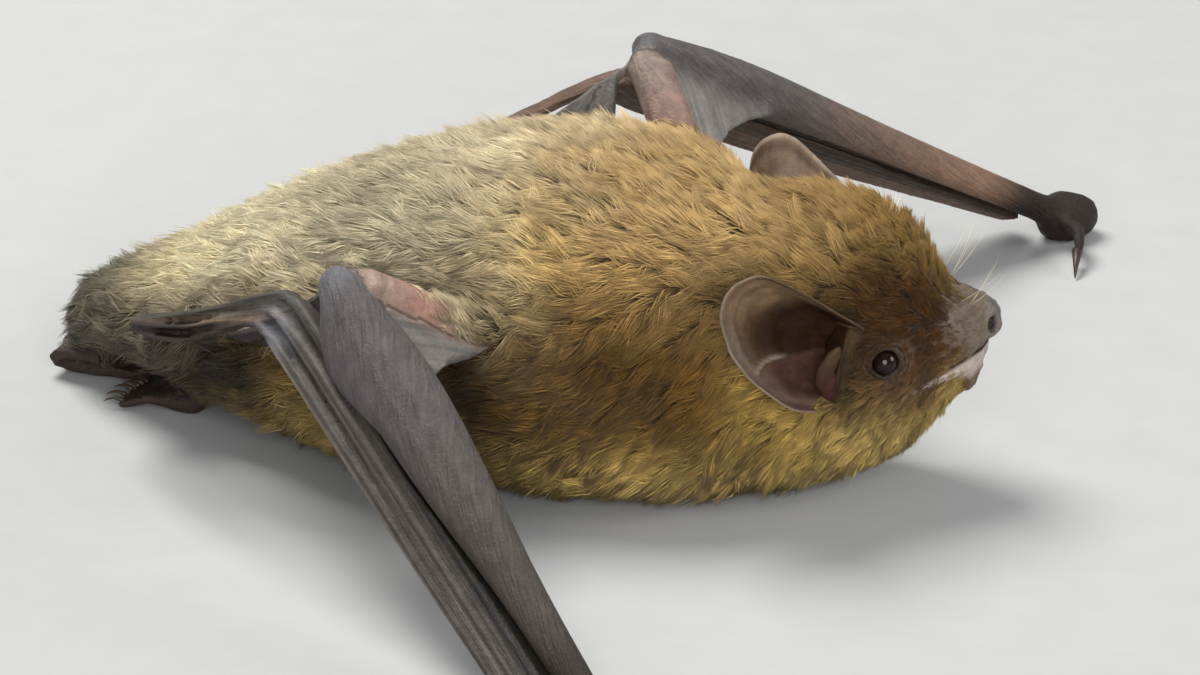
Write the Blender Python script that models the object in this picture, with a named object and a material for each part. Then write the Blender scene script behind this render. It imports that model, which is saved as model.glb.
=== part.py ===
"""A common pipistrelle bat, life size, crouched on its belly with the wings folded and the elbows raised.

The bat faces +X, its left side is +Y and it stands on the floor at z = 0. Each solid is the outer
form with the coat on it. Sizes are in millimetres, and add_object() turns them into metres.
Run it with: blender --background --python part.py
"""

import math

import bmesh
import bpy
import numpy as np
from mathutils import Matrix, Vector

MM = 0.001
CUT = 0.2  # the thin cut between two pieces that meet
EYE_GAP = 0.12
MEMBRANE = 0.5  # thickness of a wing or tail membrane
LEFT, RIGHT = 1, -1

# Trunk: x, bottom, top and half width of its cross-sections, from the rump to the shoulders.
TRUNK_SECTIONS = [
    (-28.0, 2.6, 3.7, 0.7),
    (-27.2, 2.3, 4.7, 2.2),
    (-24.8, 2.1, 6.1, 4.1),
    (-20.5, 1.8, 8.5, 6.5),
    (-15.5, 0.6, 11.4, 8.3),
    (-10.0, -0.5, 13.9, 9.6),
    (-4.5, -0.7, 15.6, 10.3),
    (0.0, -0.7, 16.1, 10.3),
    (3.6, -0.7, 16.0, 9.6),
]
TRUNK_WIDEST = 0.42  # height of the widest level, as a share of the section's height

# Head: the frame that it is modelled in, turned to the bat's left, with x towards the nose.
HEAD_ORIGIN = (10.5, 0.2, 7.65)
HEAD_YAW_DEG = 20.0
HEAD_SECTIONS = [
    (-2.2, -7.8, 7.4, 5.7),
    (0.0, -7.5, 7.4, 4.9),
    (2.2, -7.0, 7.1, 4.4),
    (4.0, -6.2, 6.3, 4.15),
    (5.3, -5.3, 5.1, 3.6),
    (6.2, -4.1, 3.8, 3.05),
    (7.0, -3.3, 2.6, 2.6),
    (7.8, -2.9, 2.1, 2.15),
    (8.4, -2.4, 1.85, 1.7),
    (8.85, -1.7, 1.45, 1.15),
    (9.1, -0.7, 0.9, 0.5),
]
MUZZLE_FROM = 4  # the section at which the head ends and the muzzle begins
HEAD_WIDEST = 0.48
EYE = (3.75, 3.8, -0.05)
EYE_RADIUS = 0.62
MOUTH_BACK = (5.0, -1.65)  # x and z of the line between the lips, at its back and front
MOUTH_FRONT = (9.7, 0.35)

# Ear: its free margin from the brow over the tip to the lobe, and the root that it grows from.
EAR_MARGIN = [
    (2.7, 4.3, 1.8),
    (1.5, 5.4, 3.0),
    (-0.6, 6.7, 4.8),
    (-2.2, 7.7, 5.8),
    (-3.6, 8.0, 5.1),
    (-3.9, 7.9, 3.3),
    (-2.9, 7.5, 0.9),
    (-1.0, 6.5, -1.2),
    (0.3, 5.3, -1.95),
]
EAR_ROOT = [
    (2.6, 2.8, 1.3),
    (2.0, 3.2, 1.6),
    (1.3, 3.6, 0.4),
    (1.2, 3.7, -0.7),
    (1.6, 3.6, -1.6),
]
EAR_SHIFT = {RIGHT: (0.0, 0.0, 0.0), LEFT: (1.1, 0.1, 0.95)}  # of the margin: the left ear is pricked
EAR_CUP = 1.1  # how far the back of the ear bulges
EAR_THICKNESS = 0.5
TRAGUS = [(0.7, 4.1, -0.95, 0.5), (0.75, 4.85, -0.3, 0.46), (1.15, 5.2, 0.55, 0.38), (1.6, 5.4, 1.3, 0.24)]

# Wings: shoulder, elbow and wrist of each side.
SHOULDER = {RIGHT: (3.0, -4.5, 5.0), LEFT: (5.5, 4.5, 6.5)}
ELBOW = {RIGHT: (-7.3, -14.5, 13.1), LEFT: (-3.3, 14.0, 15.2)}
WRIST = {RIGHT: (12.6, -30.8, 1.25), LEFT: (12.1, 33.4, 1.25)}
UPPER_ARM_RADII = [2.3, 1.8, 1.35, 1.15, 1.1]
UPPER_ARM_END = 0.9  # where it stops, as a share of the way from the shoulder to the elbow
FOREARM_RADII = {
    RIGHT: [0.85, 1.55, 1.9, 1.8, 1.5, 1.15, 0.95, 0.85],
    LEFT: [0.8, 1.25, 1.35, 1.2, 1.05, 0.95, 0.85, 0.8],
}
FOREARM_FLATNESS = 0.85
FOLD_AT_ELBOW = {RIGHT: (-0.675, 0.0, -0.738), LEFT: (-0.72, 0.18, -0.62)}  # from the forearm to the fingers
FOLD_AT_WRIST = {RIGHT: (-1.0, 0.0, -0.15), LEFT: (-0.85, 0.45, -0.1)}
FINGERS = {  # finger: distances from the forearm's axis at the knuckle and at the wrist, and its tip
    "digit_3": (2.45, 1.35, (-21.0, 8.8, 7.0)),
    "digit_4": (3.6, 2.1, (-20.8, 9.15, 6.4)),
    "digit_5": (4.75, 2.95, (-20.4, 9.5, 5.75)),
}
FINGERS_NEARER = {RIGHT: 1.0, LEFT: 0.92}  # share of those distances on each side
KNUCKLE_PLACE = {RIGHT: -0.075, LEFT: 0.0}  # of the first finger joints, in forearms from the elbow
FINGER_SPREAD = 0.27  # how much further out and down each one lies there than the one before it
FINGER_SAG = {RIGHT: 0.1, LEFT: 1.2}  # of their outer parts, between the knuckles and the tips
FINGER_HALF_WIDTH = 0.3
FINGER_HALF_DEPTH = 0.34
FINGER_TAPER = [0.85, 1.0, 1.0, 0.9, 0.8, 0.8, 0.7]
FOLD_DEPTH = {RIGHT: 0.9, LEFT: 1.15}  # from the fingers to the middle of the membrane folded behind them
FOLD_TO_ARM = 1.0  # how far that membrane's inner edge reaches from the first finger towards the forearm
THUMB_LENGTH = 4.0
THUMB_SHARE, CLAW_FROM = 0.6, 0.72  # shares of that length where the thumb ends and its claw starts
THUMB_RADIUS, CLAW_RADIUS = 0.5, 0.27
CLAW_TIP = 0.16  # height of the claw's tip
THUMB_TURN_DEG = 120.0  # from the forearm's heading towards the body
WEB_REACH = (0.36, 0.66)  # of the web, as shares of the forearm and of the upper arm
WEB_HOLLOW = 0.22

# Hind legs, given for the left side.
HIP = (-17.0, 3.0, 5.4)
KNEE = (-20.2, 7.4, 4.7)
ANKLE = (-18.4, 3.3, 1.2)
FOOT_LENGTH = 4.1
TOE_COUNT = 5
TOE_RADIUS = 0.29

TAIL_PATH = [
    (-25.0, 1.5, 0.58),
    (-26.9, 1.5, 0.56),
    (-27.9, 1.0, 0.50),
    (-27.2, 0.48, 0.44),
    (-24.0, 0.42, 0.40),
    (-20.2, 0.36, 0.30),
]
TAIL_MEMBRANE_HALF_WIDTHS = [2.8, 2.6, 2.2, 1.9, 1.6, 1.0]


def clear_scene():
    for obj in list(bpy.data.objects):
        bpy.data.objects.remove(obj)


def material(name, colour, roughness):
    """A Principled material of one colour."""
    made = bpy.data.materials.new(name)
    made.use_nodes = True
    shader = made.node_tree.nodes["Principled BSDF"]
    shader.inputs["Base Color"].default_value = (*colour, 1.0)
    shader.inputs["Roughness"].default_value = roughness
    shader.inputs["Metallic"].default_value = 0.0
    return made


def smoothed(rows, steps):
    """A Catmull-Rom curve through rows of numbers, with this many steps from each row to the next."""
    table = np.array(rows, float)
    table = np.vstack([2 * table[0] - table[1], table, 2 * table[-1] - table[-2]])
    out = []
    for i in range(1, len(table) - 2):
        before, here, there, after = table[i - 1 : i + 3]
        for k in range(steps):
            t = k / steps
            out.append(
                here
                + 0.5 * t * (there - before)
                + 0.5 * t * t * (2 * before - 5 * here + 4 * there - after)
                + 0.5 * t**3 * (3 * here - before - 3 * there + after)
            )
    out.append(table[-2])
    return np.array(out)


def add_object(name, points, faces, made_of):
    """A smooth-shaded closed mesh object, with its faces turned outwards. Points are in millimetres."""
    mesh = bpy.data.meshes.new(name)
    mesh.from_pydata([tuple(MM * float(c) for c in p) for p in points], [], faces)
    shape = bmesh.new()
    shape.from_mesh(mesh)
    inside_out = shape.calc_volume(signed=True) < 0
    shape.free()
    if inside_out:
        mesh.flip_normals()
    mesh.shade_smooth()
    mesh.materials.append(made_of)
    obj = bpy.data.objects.new(name, mesh)
    bpy.context.scene.collection.objects.link(obj)
    return obj


def loft(name, rings, made_of):
    """A closed solid through rings of equal length, each running anticlockwise seen from the end."""
    count = len(rings[0])
    points = [p for ring in rings for p in ring]
    faces = []
    for r in range(len(rings) - 1):
        for k in range(count):
            a, b = r * count + k, r * count + (k + 1) % count
            faces.append((a, b, b + count, a + count))
    faces.append(tuple(reversed(range(count))))
    faces.append(tuple(range(len(points) - count, len(points))))
    return add_object(name, points, faces, made_of)


def signed_power(value, power):
    return math.copysign(abs(value) ** power, value)


def body_section(x, bottom, top, half_width, widest, grow=0.0, count=24):
    """A cross-section at x: an oval above the widest level and a squarer one below it."""
    middle = bottom + widest * (top - bottom)
    ring = []
    for k in range(count):
        angle = 2 * math.pi * k / count
        squareness = 2.2 if math.sin(angle) > 0 else 2.9
        reach = (top if math.sin(angle) > 0 else 2 * middle - bottom) - middle + grow
        y = (half_width + grow) * signed_power(math.cos(angle), 2 / squareness)
        z = middle + reach * signed_power(math.sin(angle), 2 / squareness)
        ring.append(Vector((x, y, z)))
    return ring


def on_floor(ring):
    """The ring with what would reach below the floor laid flat on it."""
    return [Vector((p.x, p.y, max(p.z, 0.0))) for p in ring]


def head_matrix():
    return Matrix.Translation(HEAD_ORIGIN) @ Matrix.Rotation(math.radians(HEAD_YAW_DEG), 4, "Z")


def to_body(point, side=LEFT):
    """A point of the head's frame, given for the left side, in the bat's frame."""
    x, y, z = point
    return head_matrix() @ Vector((x, side * y, z))


def trunk_rings(grow=0.0):
    rows = smoothed(TRUNK_SECTIONS, 2)
    rings = [body_section(*row, TRUNK_WIDEST, grow) for row in rows]
    if grow:
        return rings
    return [on_floor(ring) for ring in rings]


def head_rings(grow=0.0, first=0, last=len(HEAD_SECTIONS) - 1, start_gap=0.0, end_gap=0.0):
    """Rings of the head from one section to another, with a gap left free at either end."""
    rows = smoothed(HEAD_SECTIONS, 2)[2 * first : 2 * last + 1]
    rows[0][0] += start_gap
    rows[-1][0] -= end_gap
    sections = [body_section(*row, HEAD_WIDEST, grow) for row in rows]
    return [on_floor([head_matrix() @ p for p in ring]) for ring in sections]


def neck_rings(grow=0.0):
    """The neck runs from the trunk's last section to the head's first one."""
    back, front = trunk_rings(grow)[-1], head_rings(grow)[0]
    if not grow:
        forward = Vector((1.0, 0.0, 0.0))
        back = [p + CUT * forward for p in back]
        front = [p - CUT * (head_matrix().to_3x3() @ forward) for p in front]
    rings = []
    for k in range(5):
        share = k / 4
        bulge = 1 + 0.03 * math.sin(math.pi * share)
        ring = [b.lerp(f, share) for b, f in zip(back, front)]
        centre = sum(ring, Vector()) / len(ring)
        rings.append(on_floor([centre + bulge * (p - centre) for p in ring]))
    return rings


def body_rings(grow):
    """The trunk, neck and head in one, grown all round, as a clearance for what meets them."""
    return trunk_rings(grow) + neck_rings(grow)[1:-1] + head_rings(grow)


def frame_along(points, hint):
    """For each point of a path, two unit vectors across it. The first lies as near to hint as it can."""
    frames = []
    for k, point in enumerate(points):
        along = (points[min(k + 1, len(points) - 1)] - points[max(k - 1, 0)]).normalized()
        first = (hint - hint.dot(along) * along).normalized()
        frames.append((first, along.cross(first)))
    return frames


def tube(name, points, widths, depths, made_of, hint=Vector((0, 0, 1)), count=12, floor=False):
    """A solid round a path. Widths are its radii along hint, and depths those across it."""
    points = [Vector(p) for p in points]
    rings = []
    for point, (first, second), width, depth in zip(points, frame_along(points, hint), widths, depths):
        ring = []
        for k in range(count):
            angle = 2 * math.pi * k / count
            ring.append(point + width * math.cos(angle) * first + depth * math.sin(angle) * second)
        rings.append(on_floor(ring) if floor else ring)
    return loft(name, rings, made_of)


def rounded(points, radii, cap=0.35):
    """Smoothed points and radii of a limb, with small end rings that round its two ends."""
    rows = smoothed([(*p, r) for p, r in zip(points, radii)], 2)
    points, radii = [Vector(row[:3]) for row in rows], [float(row[3]) for row in rows]
    first = points[0] + cap * radii[0] * (points[0] - points[1]).normalized()
    last = points[-1] + cap * radii[-1] * (points[-1] - points[-2]).normalized()
    return [first, *points, last], [0.6 * radii[0], *radii, 0.6 * radii[-1]]


def sheet(name, grid, thickness, made_of):
    """A thin closed solid whose middle surface is a grid of points."""
    rows, columns = len(grid), len(grid[0])
    table = np.array([[list(p) for p in row] for row in grid], float)
    across = np.cross(np.gradient(table, axis=0), np.gradient(table, axis=1))
    across /= np.linalg.norm(across, axis=2, keepdims=True)
    above, below = table + 0.5 * thickness * across, table - 0.5 * thickness * across
    points = [*above.reshape(-1, 3), *below.reshape(-1, 3)]
    under = rows * columns
    faces = []
    for i in range(rows - 1):
        for j in range(columns - 1):
            a = i * columns + j
            faces.append((a, a + columns, a + columns + 1, a + 1))
            faces.append(tuple(under + q for q in (a, a + 1, a + columns + 1, a + columns)))
    rim = [j for j in range(columns)]
    rim += [i * columns + columns - 1 for i in range(1, rows)]
    rim += [(rows - 1) * columns + j for j in reversed(range(columns - 1))]
    rim += [i * columns for i in reversed(range(1, rows - 1))]
    for a, b in zip(rim, rim[1:] + rim[:1]):
        faces.append((a, b, under + b, under + a))
    return add_object(name, points, faces, made_of)


def helper(obj):
    """Marks an object as a cutter or an operand, which is no part of the bat."""
    obj.hide_render = True
    obj.display_type = "WIRE"
    return obj


def boolean(obj, other, operation="DIFFERENCE"):
    modifier = obj.modifiers.new(f"{operation.lower()}_{other.name}", "BOOLEAN")
    modifier.operation = operation
    modifier.object = other
    modifier.solver = "EXACT"
    return obj


def island_of(start):
    """The faces that can be reached from one face across its edges."""
    island, waiting = {start}, [start]
    while waiting:
        for edge in waiting.pop().edges:
            for face in edge.link_faces:
                if face not in island:
                    island.add(face)
                    waiting.append(face)
    return island


def keep_largest_piece(obj):
    """Applies the modifiers and drops the small offcuts that a cut leaves beside the main piece."""
    bpy.context.view_layer.update()
    graph = bpy.context.evaluated_depsgraph_get()
    mesh = bpy.data.meshes.new_from_object(obj.evaluated_get(graph))
    obj.modifiers.clear()
    obj.data = mesh
    shape = bmesh.new()
    shape.from_mesh(mesh)
    islands, left = [], set(shape.faces)
    while left:
        island = island_of(next(iter(left)))
        islands.append(island)
        left -= island
    islands.sort(key=lambda island: sum(face.calc_area() for face in island))
    for island in islands[:-1]:
        bmesh.ops.delete(shape, geom=list(island), context="FACES")
    shape.to_mesh(mesh)
    shape.free()


def ball(name, centre, radius, made_of, segments=12, rings=8):
    """A round ball of rings of points round an upright axis."""
    sections = []
    for r in range(rings + 1):
        slope = math.pi * (0.06 + 0.88 * r / rings) - math.pi / 2
        level = centre + Vector((0, 0, radius * math.sin(slope)))
        out = radius * math.cos(slope)
        turn = [2 * math.pi * k / segments for k in range(segments)]
        sections.append([level + Vector((out * math.cos(a), out * math.sin(a), 0)) for a in turn])
    return loft(name, sections, made_of)


def along_curve(rows, count):
    """count points spread evenly by number along the smooth curve through rows."""
    fine = smoothed(rows, 8)
    places = np.linspace(0, len(fine) - 1, count)
    return [fine[int(round(p))] for p in places]


# ---- body, head and face ----------------------------------------------------------------------


def make_body(coat, dark_skin):
    loft("trunk", trunk_rings(), coat)
    loft("neck", neck_rings(), coat)
    head = loft("head", head_rings(last=MUZZLE_FROM, end_gap=CUT / 2), coat)
    muzzle = loft("muzzle", head_rings(first=MUZZLE_FROM, start_gap=CUT / 2), dark_skin)
    jaw = loft("jaw", head_rings(first=MUZZLE_FROM, start_gap=CUT / 2), dark_skin)
    boolean(jaw, jaw_region("jaw_region", 0.0, dark_skin), "INTERSECT")
    boolean(muzzle, jaw_region("jaw_clearance", CUT, dark_skin))
    return head


def jaw_region(name, grow, made_of):
    """A prism across the muzzle that holds the lower jaw, which is all that lies below the lips."""
    (back, back_level), (front, front_level) = MOUTH_BACK, MOUTH_FRONT
    beyond = 9.0
    outline = [
        Vector((back, 0, back_level + grow)),
        Vector((front, 0, front_level + grow)),
        Vector((front, 0, -beyond)),
        Vector((back, 0, -beyond)),
    ]
    rings = []
    for y in (-beyond, beyond):
        rings.append([head_matrix() @ (p + Vector((0, y, 0))) for p in outline])
    return helper(loft(name, rings, made_of))


def make_eyes(head, eye_black):
    for side, word in ((LEFT, "left"), (RIGHT, "right")):
        centre = to_body(EYE, side)
        ball(f"eye_{word}", centre, EYE_RADIUS, eye_black)
        boolean(head, helper(ball(f"socket_{word}", centre, EYE_RADIUS + EYE_GAP, eye_black)))


def ear_grid(side, rows=13, columns=7):
    """Points of the ear, from the root at one edge of the grid to the free margin at the other."""
    root, margin = along_curve(EAR_ROOT, rows), along_curve(EAR_MARGIN, rows)
    bulge = Vector((-0.75, -0.45, 0.1))
    grid = []
    for k, (a, b) in enumerate(zip(root, margin)):
        along = k / (rows - 1)
        row = []
        for j in range(columns):
            out = j / (columns - 1)
            depth = EAR_CUP * math.sin(math.pi * out) * math.sin(math.pi * along) ** 0.7
            tip = Vector(b) + Vector(EAR_SHIFT[side])
            row.append(to_body(Vector(a).lerp(tip, out) + depth * bulge, side))
        grid.append(row)
    return grid


def make_ears(clearance, ear_skin):
    for side, word in ((LEFT, "left"), (RIGHT, "right")):
        ear = sheet(f"ear_{word}", ear_grid(side), EAR_THICKNESS, ear_skin)
        boolean(ear, clearance)
        keep_largest_piece(ear)
        points = [to_body(Vector(row[:3]) + 0.5 * Vector(EAR_SHIFT[side]), side) for row in TRAGUS]
        points, radii = rounded(points, [row[3] for row in TRAGUS])
        flat = [0.75 * r for r in radii]
        tragus = tube(f"tragus_{word}", points, radii, flat, ear_skin, Vector((1, 0, 0)), 8)
        boolean(tragus, clearance)


# ---- wings ------------------------------------------------------------------------------------


def arm_axes(side, folds=FOLD_AT_ELBOW):
    """Elbow, forearm vector, and the unit vector from the forearm to the folded fingers."""
    elbow, wrist = Vector(ELBOW[side]), Vector(WRIST[side])
    arm = wrist - elbow
    along = arm.normalized()
    fold = Vector(folds[side])
    fold = (fold - fold.dot(along) * along).normalized()
    return elbow, arm, fold


def forearm_path(side, start=0.0, end=0.955):
    elbow, arm, fold = arm_axes(side)
    shares = np.linspace(start, end, len(FOREARM_RADII[side]))
    return [elbow + float(s) * arm for s in shares]


def make_arm(side, word, clearance, skin, finger_skin, claw):
    elbow, arm, fold = arm_axes(side)
    shoulder = Vector(SHOULDER[side])

    points, radii = rounded(forearm_path(side), FOREARM_RADII[side])
    depths = [FOREARM_FLATNESS * r for r in radii]
    tube(f"forearm_{word}", points, radii, depths, skin, fold, 11)
    grown = [r + CUT for r in radii], [r + CUT for r in depths]
    forearm_clearance = helper(
        tube(f"forearm_clearance_{word}", points, *grown, skin, fold, 11)
    )

    path = [shoulder.lerp(elbow, UPPER_ARM_END * k / 4) for k in range(5)]
    points, radii = rounded(path, UPPER_ARM_RADII)
    upper_arm = tube(f"upper_arm_{word}", points, radii, radii, skin, fold, 12)
    grown = [r + CUT for r in radii]
    arm_clearance = helper(tube(f"arm_clearance_{word}", points, grown, grown, skin, fold, 12))
    for cutter in (clearance, forearm_clearance):
        boolean(upper_arm, cutter)
    keep_largest_piece(upper_arm)

    for name in FINGERS:
        finger = make_finger(name, side, word, finger_skin)
        boolean(finger, forearm_clearance)
    make_folded_membrane(side, word, (forearm_clearance, arm_clearance), finger_skin)
    make_hand(side, word, arm.normalized(), fold, forearm_clearance, finger_skin, claw)
    make_web(side, word, (forearm_clearance, arm_clearance, clearance), finger_skin)
    make_flank_membrane(side, word, (forearm_clearance, arm_clearance, clearance), finger_skin)


def finger_line(name, side):
    """A folded finger's line: back along the forearm to its knuckle, then towards the knee."""
    at_knuckle, at_wrist, tip = FINGERS[name]
    nearer = FINGERS_NEARER[side]
    elbow, arm, fold = arm_axes(side)
    wrist_end = elbow + 0.93 * arm + nearer * at_wrist * arm_axes(side, FOLD_AT_WRIST)[2]
    knuckle = elbow + KNUCKLE_PLACE[side] * arm + nearer * at_knuckle * fold
    tip = Vector((tip[0], side * tip[1], tip[2]))
    spread = FINGER_SPREAD * list(FINGERS).index(name)
    middle = knuckle.lerp(tip, 0.5) + Vector((0, side * (0.5 + spread), -FINGER_SAG[side] - spread))
    line = [wrist_end, wrist_end.lerp(knuckle, 0.33), wrist_end.lerp(knuckle, 0.66)]
    return line + [knuckle.lerp(wrist_end, 0.06), knuckle.lerp(middle, 0.16), middle, tip]


def make_finger(name, side, word, made_of):
    points, shares = rounded(finger_line(name, side), FINGER_TAPER)
    widths = [FINGER_HALF_WIDTH * s for s in shares]
    depths = [FINGER_HALF_DEPTH * max(s, 0.85) for s in shares]
    return tube(f"{name}_{word}", points, widths, depths, made_of, arm_axes(side)[2], 7)


def make_folded_membrane(side, word, cutters, made_of):
    """The wing's membrane, folded flat behind the fingers, on their side towards the body."""
    elbow, arm, fold = arm_axes(side)
    towards_body = -side * arm.normalized().cross(fold)
    lines = []
    for name in ("digit_3", "digit_5"):
        line = finger_line(name, side)
        bend = len(line) // 2
        to_arm = FOLD_TO_ARM * fold if name == "digit_3" else Vector()
        moved = [p + FOLD_DEPTH[side] * towards_body - to_arm for p in line[:bend]]
        moved += [p + FOLD_DEPTH[side] * Vector((0, -side, 0)) for p in line[bend:]]
        lines.append(smoothed(moved, 2).tolist())
    grid = [[Vector(a).lerp(Vector(b), j / 3) for j in range(4)] for a, b in zip(*lines)]
    membrane = sheet(f"folded_membrane_{word}", grid, MEMBRANE, made_of)
    for cutter in cutters:
        boolean(membrane, cutter)
    keep_largest_piece(membrane)


def make_hand(side, word, along, fold, forearm_clearance, made_of, claw):
    """The wrist, which stands on the floor, and the thumb with its claw in front of it."""
    wrist = Vector(WRIST[side])
    path = [wrist - 0.55 * along, wrist + 0.5 * along + 0.4 * fold, wrist + 1.9 * along + 0.35 * fold]
    path = [Vector((p.x, p.y, max(p.z, 1.05))) for p in path]
    points, radii = rounded(path, [1.15, 1.45, 1.05], 0.5)
    hand = tube(f"hand_{word}", points, radii, radii, made_of, Vector((0, 0, 1)), 12, floor=True)
    boolean(hand, forearm_clearance)
    heading = Vector((along.x, along.y, 0)).normalized()
    turned = Matrix.Rotation(math.radians(-side * THUMB_TURN_DEG), 3, "Z") @ heading
    start = wrist + 0.5 * heading + (1.5 + CUT) * turned
    pieces = (
        ("thumb", 0.0, THUMB_SHARE, THUMB_RADIUS, made_of),
        ("thumb_claw", CLAW_FROM, 1.0, CLAW_RADIUS, claw),
    )
    for name, first, last, radius, of_piece in pieces:
        path, radii = [], []
        for share in np.linspace(first, last, 4):
            share = float(share)
            arch = 0.55 * math.sin(math.pi * min(share * 1.25, 1.0))
            height = (1 - share) * start.z + share * CLAW_TIP + arch
            way = (0.6 * heading).lerp(turned, 0.6 + 0.4 * share).normalized()
            path.append(Vector((start.x, start.y, height)) + share * THUMB_LENGTH * way)
            radii.append(radius * (1 - 0.5 * (share - first) / (last - first)))
        points, radii = rounded(path, radii)
        tube(f"{name}_{word}", points, radii, radii, of_piece, count=8, floor=True)


def make_web(side, word, cutters, made_of):
    """The web in the crook of the elbow, between the upper arm and the forearm."""
    elbow, arm, fold = arm_axes(side)
    upper = Vector(SHOULDER[side]) - elbow
    grid = []
    for i in range(9):
        share = 0.12 + 0.88 * i / 8
        row = []
        for j in range(9):
            v = j / 8
            hollow = 1 - WEB_HOLLOW * share * 4 * v * (1 - v)
            row.append(elbow + share * hollow * ((1 - v) * WEB_REACH[0] * arm + v * WEB_REACH[1] * upper))
        grid.append(row)
    web = sheet(f"web_{word}", grid, MEMBRANE, made_of)
    for cutter in cutters:
        boolean(web, cutter)
    keep_largest_piece(web)


def make_flank_membrane(side, word, cutters, made_of):
    """The membrane from the elbow to the knee, gathered along the flank."""
    elbow = Vector(ELBOW[side])
    knee = Vector((KNEE[0], side * KNEE[1], KNEE[2]))
    outer = [elbow + Vector((-0.6, -side * 1.2, -0.7)), knee + Vector((3.2, side * 0.2, 1.6))]
    inner = [Vector((-3.5, side * 9.0, 7.2)), Vector((-15.0, side * 6.6, 6.4))]
    grid = []
    for i in range(13):
        along = i / 12
        out = outer[0].lerp(outer[1], along) + Vector((0, 0, -0.9 * math.sin(math.pi * along)))
        near = inner[0].lerp(inner[1], along)
        row = []
        for j in range(6):
            v = j / 5
            sag = 0.9 * math.sin(math.pi * v)
            row.append(out.lerp(near, v) + Vector((0, 0, -sag)))
        grid.append(row)
    membrane = sheet(f"flank_membrane_{word}", grid, MEMBRANE, made_of)
    for cutter in cutters:
        boolean(membrane, cutter)
    keep_largest_piece(membrane)


# ---- hind legs and tail -----------------------------------------------------------------------


def make_leg(side, word, clearance, skin):
    hip, knee, ankle = (Vector((x, side * y, z)) for x, y, z in (HIP, KNEE, ANKLE))
    up = Vector((0, 0, 1))
    points, radii = rounded([hip, hip.lerp(knee, 0.5), knee.lerp(hip, 0.06)], [2.1, 1.7, 1.15])
    thigh = tube(f"thigh_{word}", points, radii, radii, skin, up, 12)
    boolean(thigh, clearance)
    shin = (ankle - knee).normalized()
    points, radii = rounded([knee + 1.7 * shin, knee.lerp(ankle, 0.65), ankle], [0.95, 0.7, 0.6], 0.2)
    calf = tube(f"shin_{word}", points, radii, radii, skin, up, 10)
    boolean(calf, clearance)
    keep_largest_piece(calf)
    make_foot(side, word, ankle, skin)


def make_foot(side, word, ankle, skin):
    """The sole and five clawed toes, joined into one solid that lies on the floor."""
    heel = Vector((ankle.x - 0.95, ankle.y, 0.62))
    back = Vector((-1.0, -0.06 * side, 0.0)).normalized()
    sole_end = heel + 1.7 * back + Vector((0, 0, -0.15))
    points, radii = rounded([heel, heel.lerp(sole_end, 0.5), sole_end], [0.72, 0.8, 0.6])
    wide = [1.35 * r for r in radii]
    foot = tube(f"foot_{word}", points, radii, wide, skin, Vector((0, 0, 1)), 10, floor=True)
    for toe in range(TOE_COUNT):
        spread = (toe - (TOE_COUNT - 1) / 2) / TOE_COUNT
        start = sole_end + Vector((0.5, 1.7 * spread, -0.05))
        end = heel + FOOT_LENGTH * (back + Vector((0, 0.95 * spread, 0))).normalized()
        rows = [start, start.lerp(end, 0.45) + Vector((0, 0, 0.15)), start.lerp(end, 0.8), end]
        rows[2].z, rows[3].z = 0.34, 0.16
        radii = [TOE_RADIUS, TOE_RADIUS, 0.9 * TOE_RADIUS, 0.45 * TOE_RADIUS]
        piece = tube(f"toe_{toe}_{word}", rows, radii, radii, skin, count=6, floor=True)
        boolean(foot, helper(piece), "UNION")


def make_tail(skin, membrane_skin):
    rows = smoothed(TAIL_PATH, 2).tolist()
    points = [Vector((x, 0, z)) for x, z, r in rows]
    radii = [r for x, z, r in rows]
    across = Vector((0, 1, 0))
    tube("tail", points, radii, radii, skin, across, 8, floor=True)
    widths = smoothed([(w, 0.0) for w in TAIL_MEMBRANE_HALF_WIDTHS], 2)[:, 0].tolist()
    for side, word in ((LEFT, "left"), (RIGHT, "right")):
        grid = []
        for (x, z, r), width in zip(rows, widths):
            row = []
            for j in range(5):
                y = r + CUT + (width - r - CUT) * j / 4
                row.append(Vector((x, side * y, z)))
            grid.append(row)
        sheet(f"tail_membrane_{word}", grid, MEMBRANE, membrane_skin)


# ---- the whole bat ----------------------------------------------------------------------------


def stand_on_origin():
    """Moves the bat so that the origin is under the middle of its box, on the floor."""
    bpy.context.view_layer.update()
    graph = bpy.context.evaluated_depsgraph_get()
    corners = []
    for obj in bpy.context.scene.objects:
        if obj.type == "MESH" and not obj.hide_render:
            mesh = obj.evaluated_get(graph).to_mesh()
            corners += [v.co.copy() for v in mesh.vertices]
    low = Vector(min(c[axis] for c in corners) for axis in range(3))
    high = Vector(max(c[axis] for c in corners) for axis in range(3))
    shift = Vector((-(low.x + high.x) / 2, -(low.y + high.y) / 2, -low.z))
    root = bpy.data.objects.new("bat", None)
    bpy.context.scene.collection.objects.link(root)
    for obj in list(bpy.context.scene.objects):
        if obj.type == "MESH":
            obj.parent = root
    root.location = shift


def main():
    clear_scene()
    coat = material("coat", (0.36, 0.24, 0.10), 0.8)
    dark_skin = material("face_skin", (0.10, 0.06, 0.035), 0.6)
    ear_skin = material("ear_skin", (0.08, 0.05, 0.035), 0.6)
    wing_skin = material("wing_skin", (0.17, 0.15, 0.14), 0.55)
    membrane_skin = material("membrane", (0.11, 0.10, 0.09), 0.6)
    eye_black = material("eye", (0.01, 0.008, 0.008), 0.08)
    claw = material("claw", (0.10, 0.06, 0.035), 0.35)

    head = make_body(coat, dark_skin)
    make_eyes(head, eye_black)
    clearance = helper(loft("body_clearance", body_rings(CUT), coat))
    make_ears(clearance, ear_skin)
    for side, word in ((LEFT, "left"), (RIGHT, "right")):
        make_arm(side, word, clearance, wing_skin, membrane_skin, claw)
        make_leg(side, word, clearance, wing_skin)
    make_tail(wing_skin, membrane_skin)
    stand_on_origin()


main()
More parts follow.
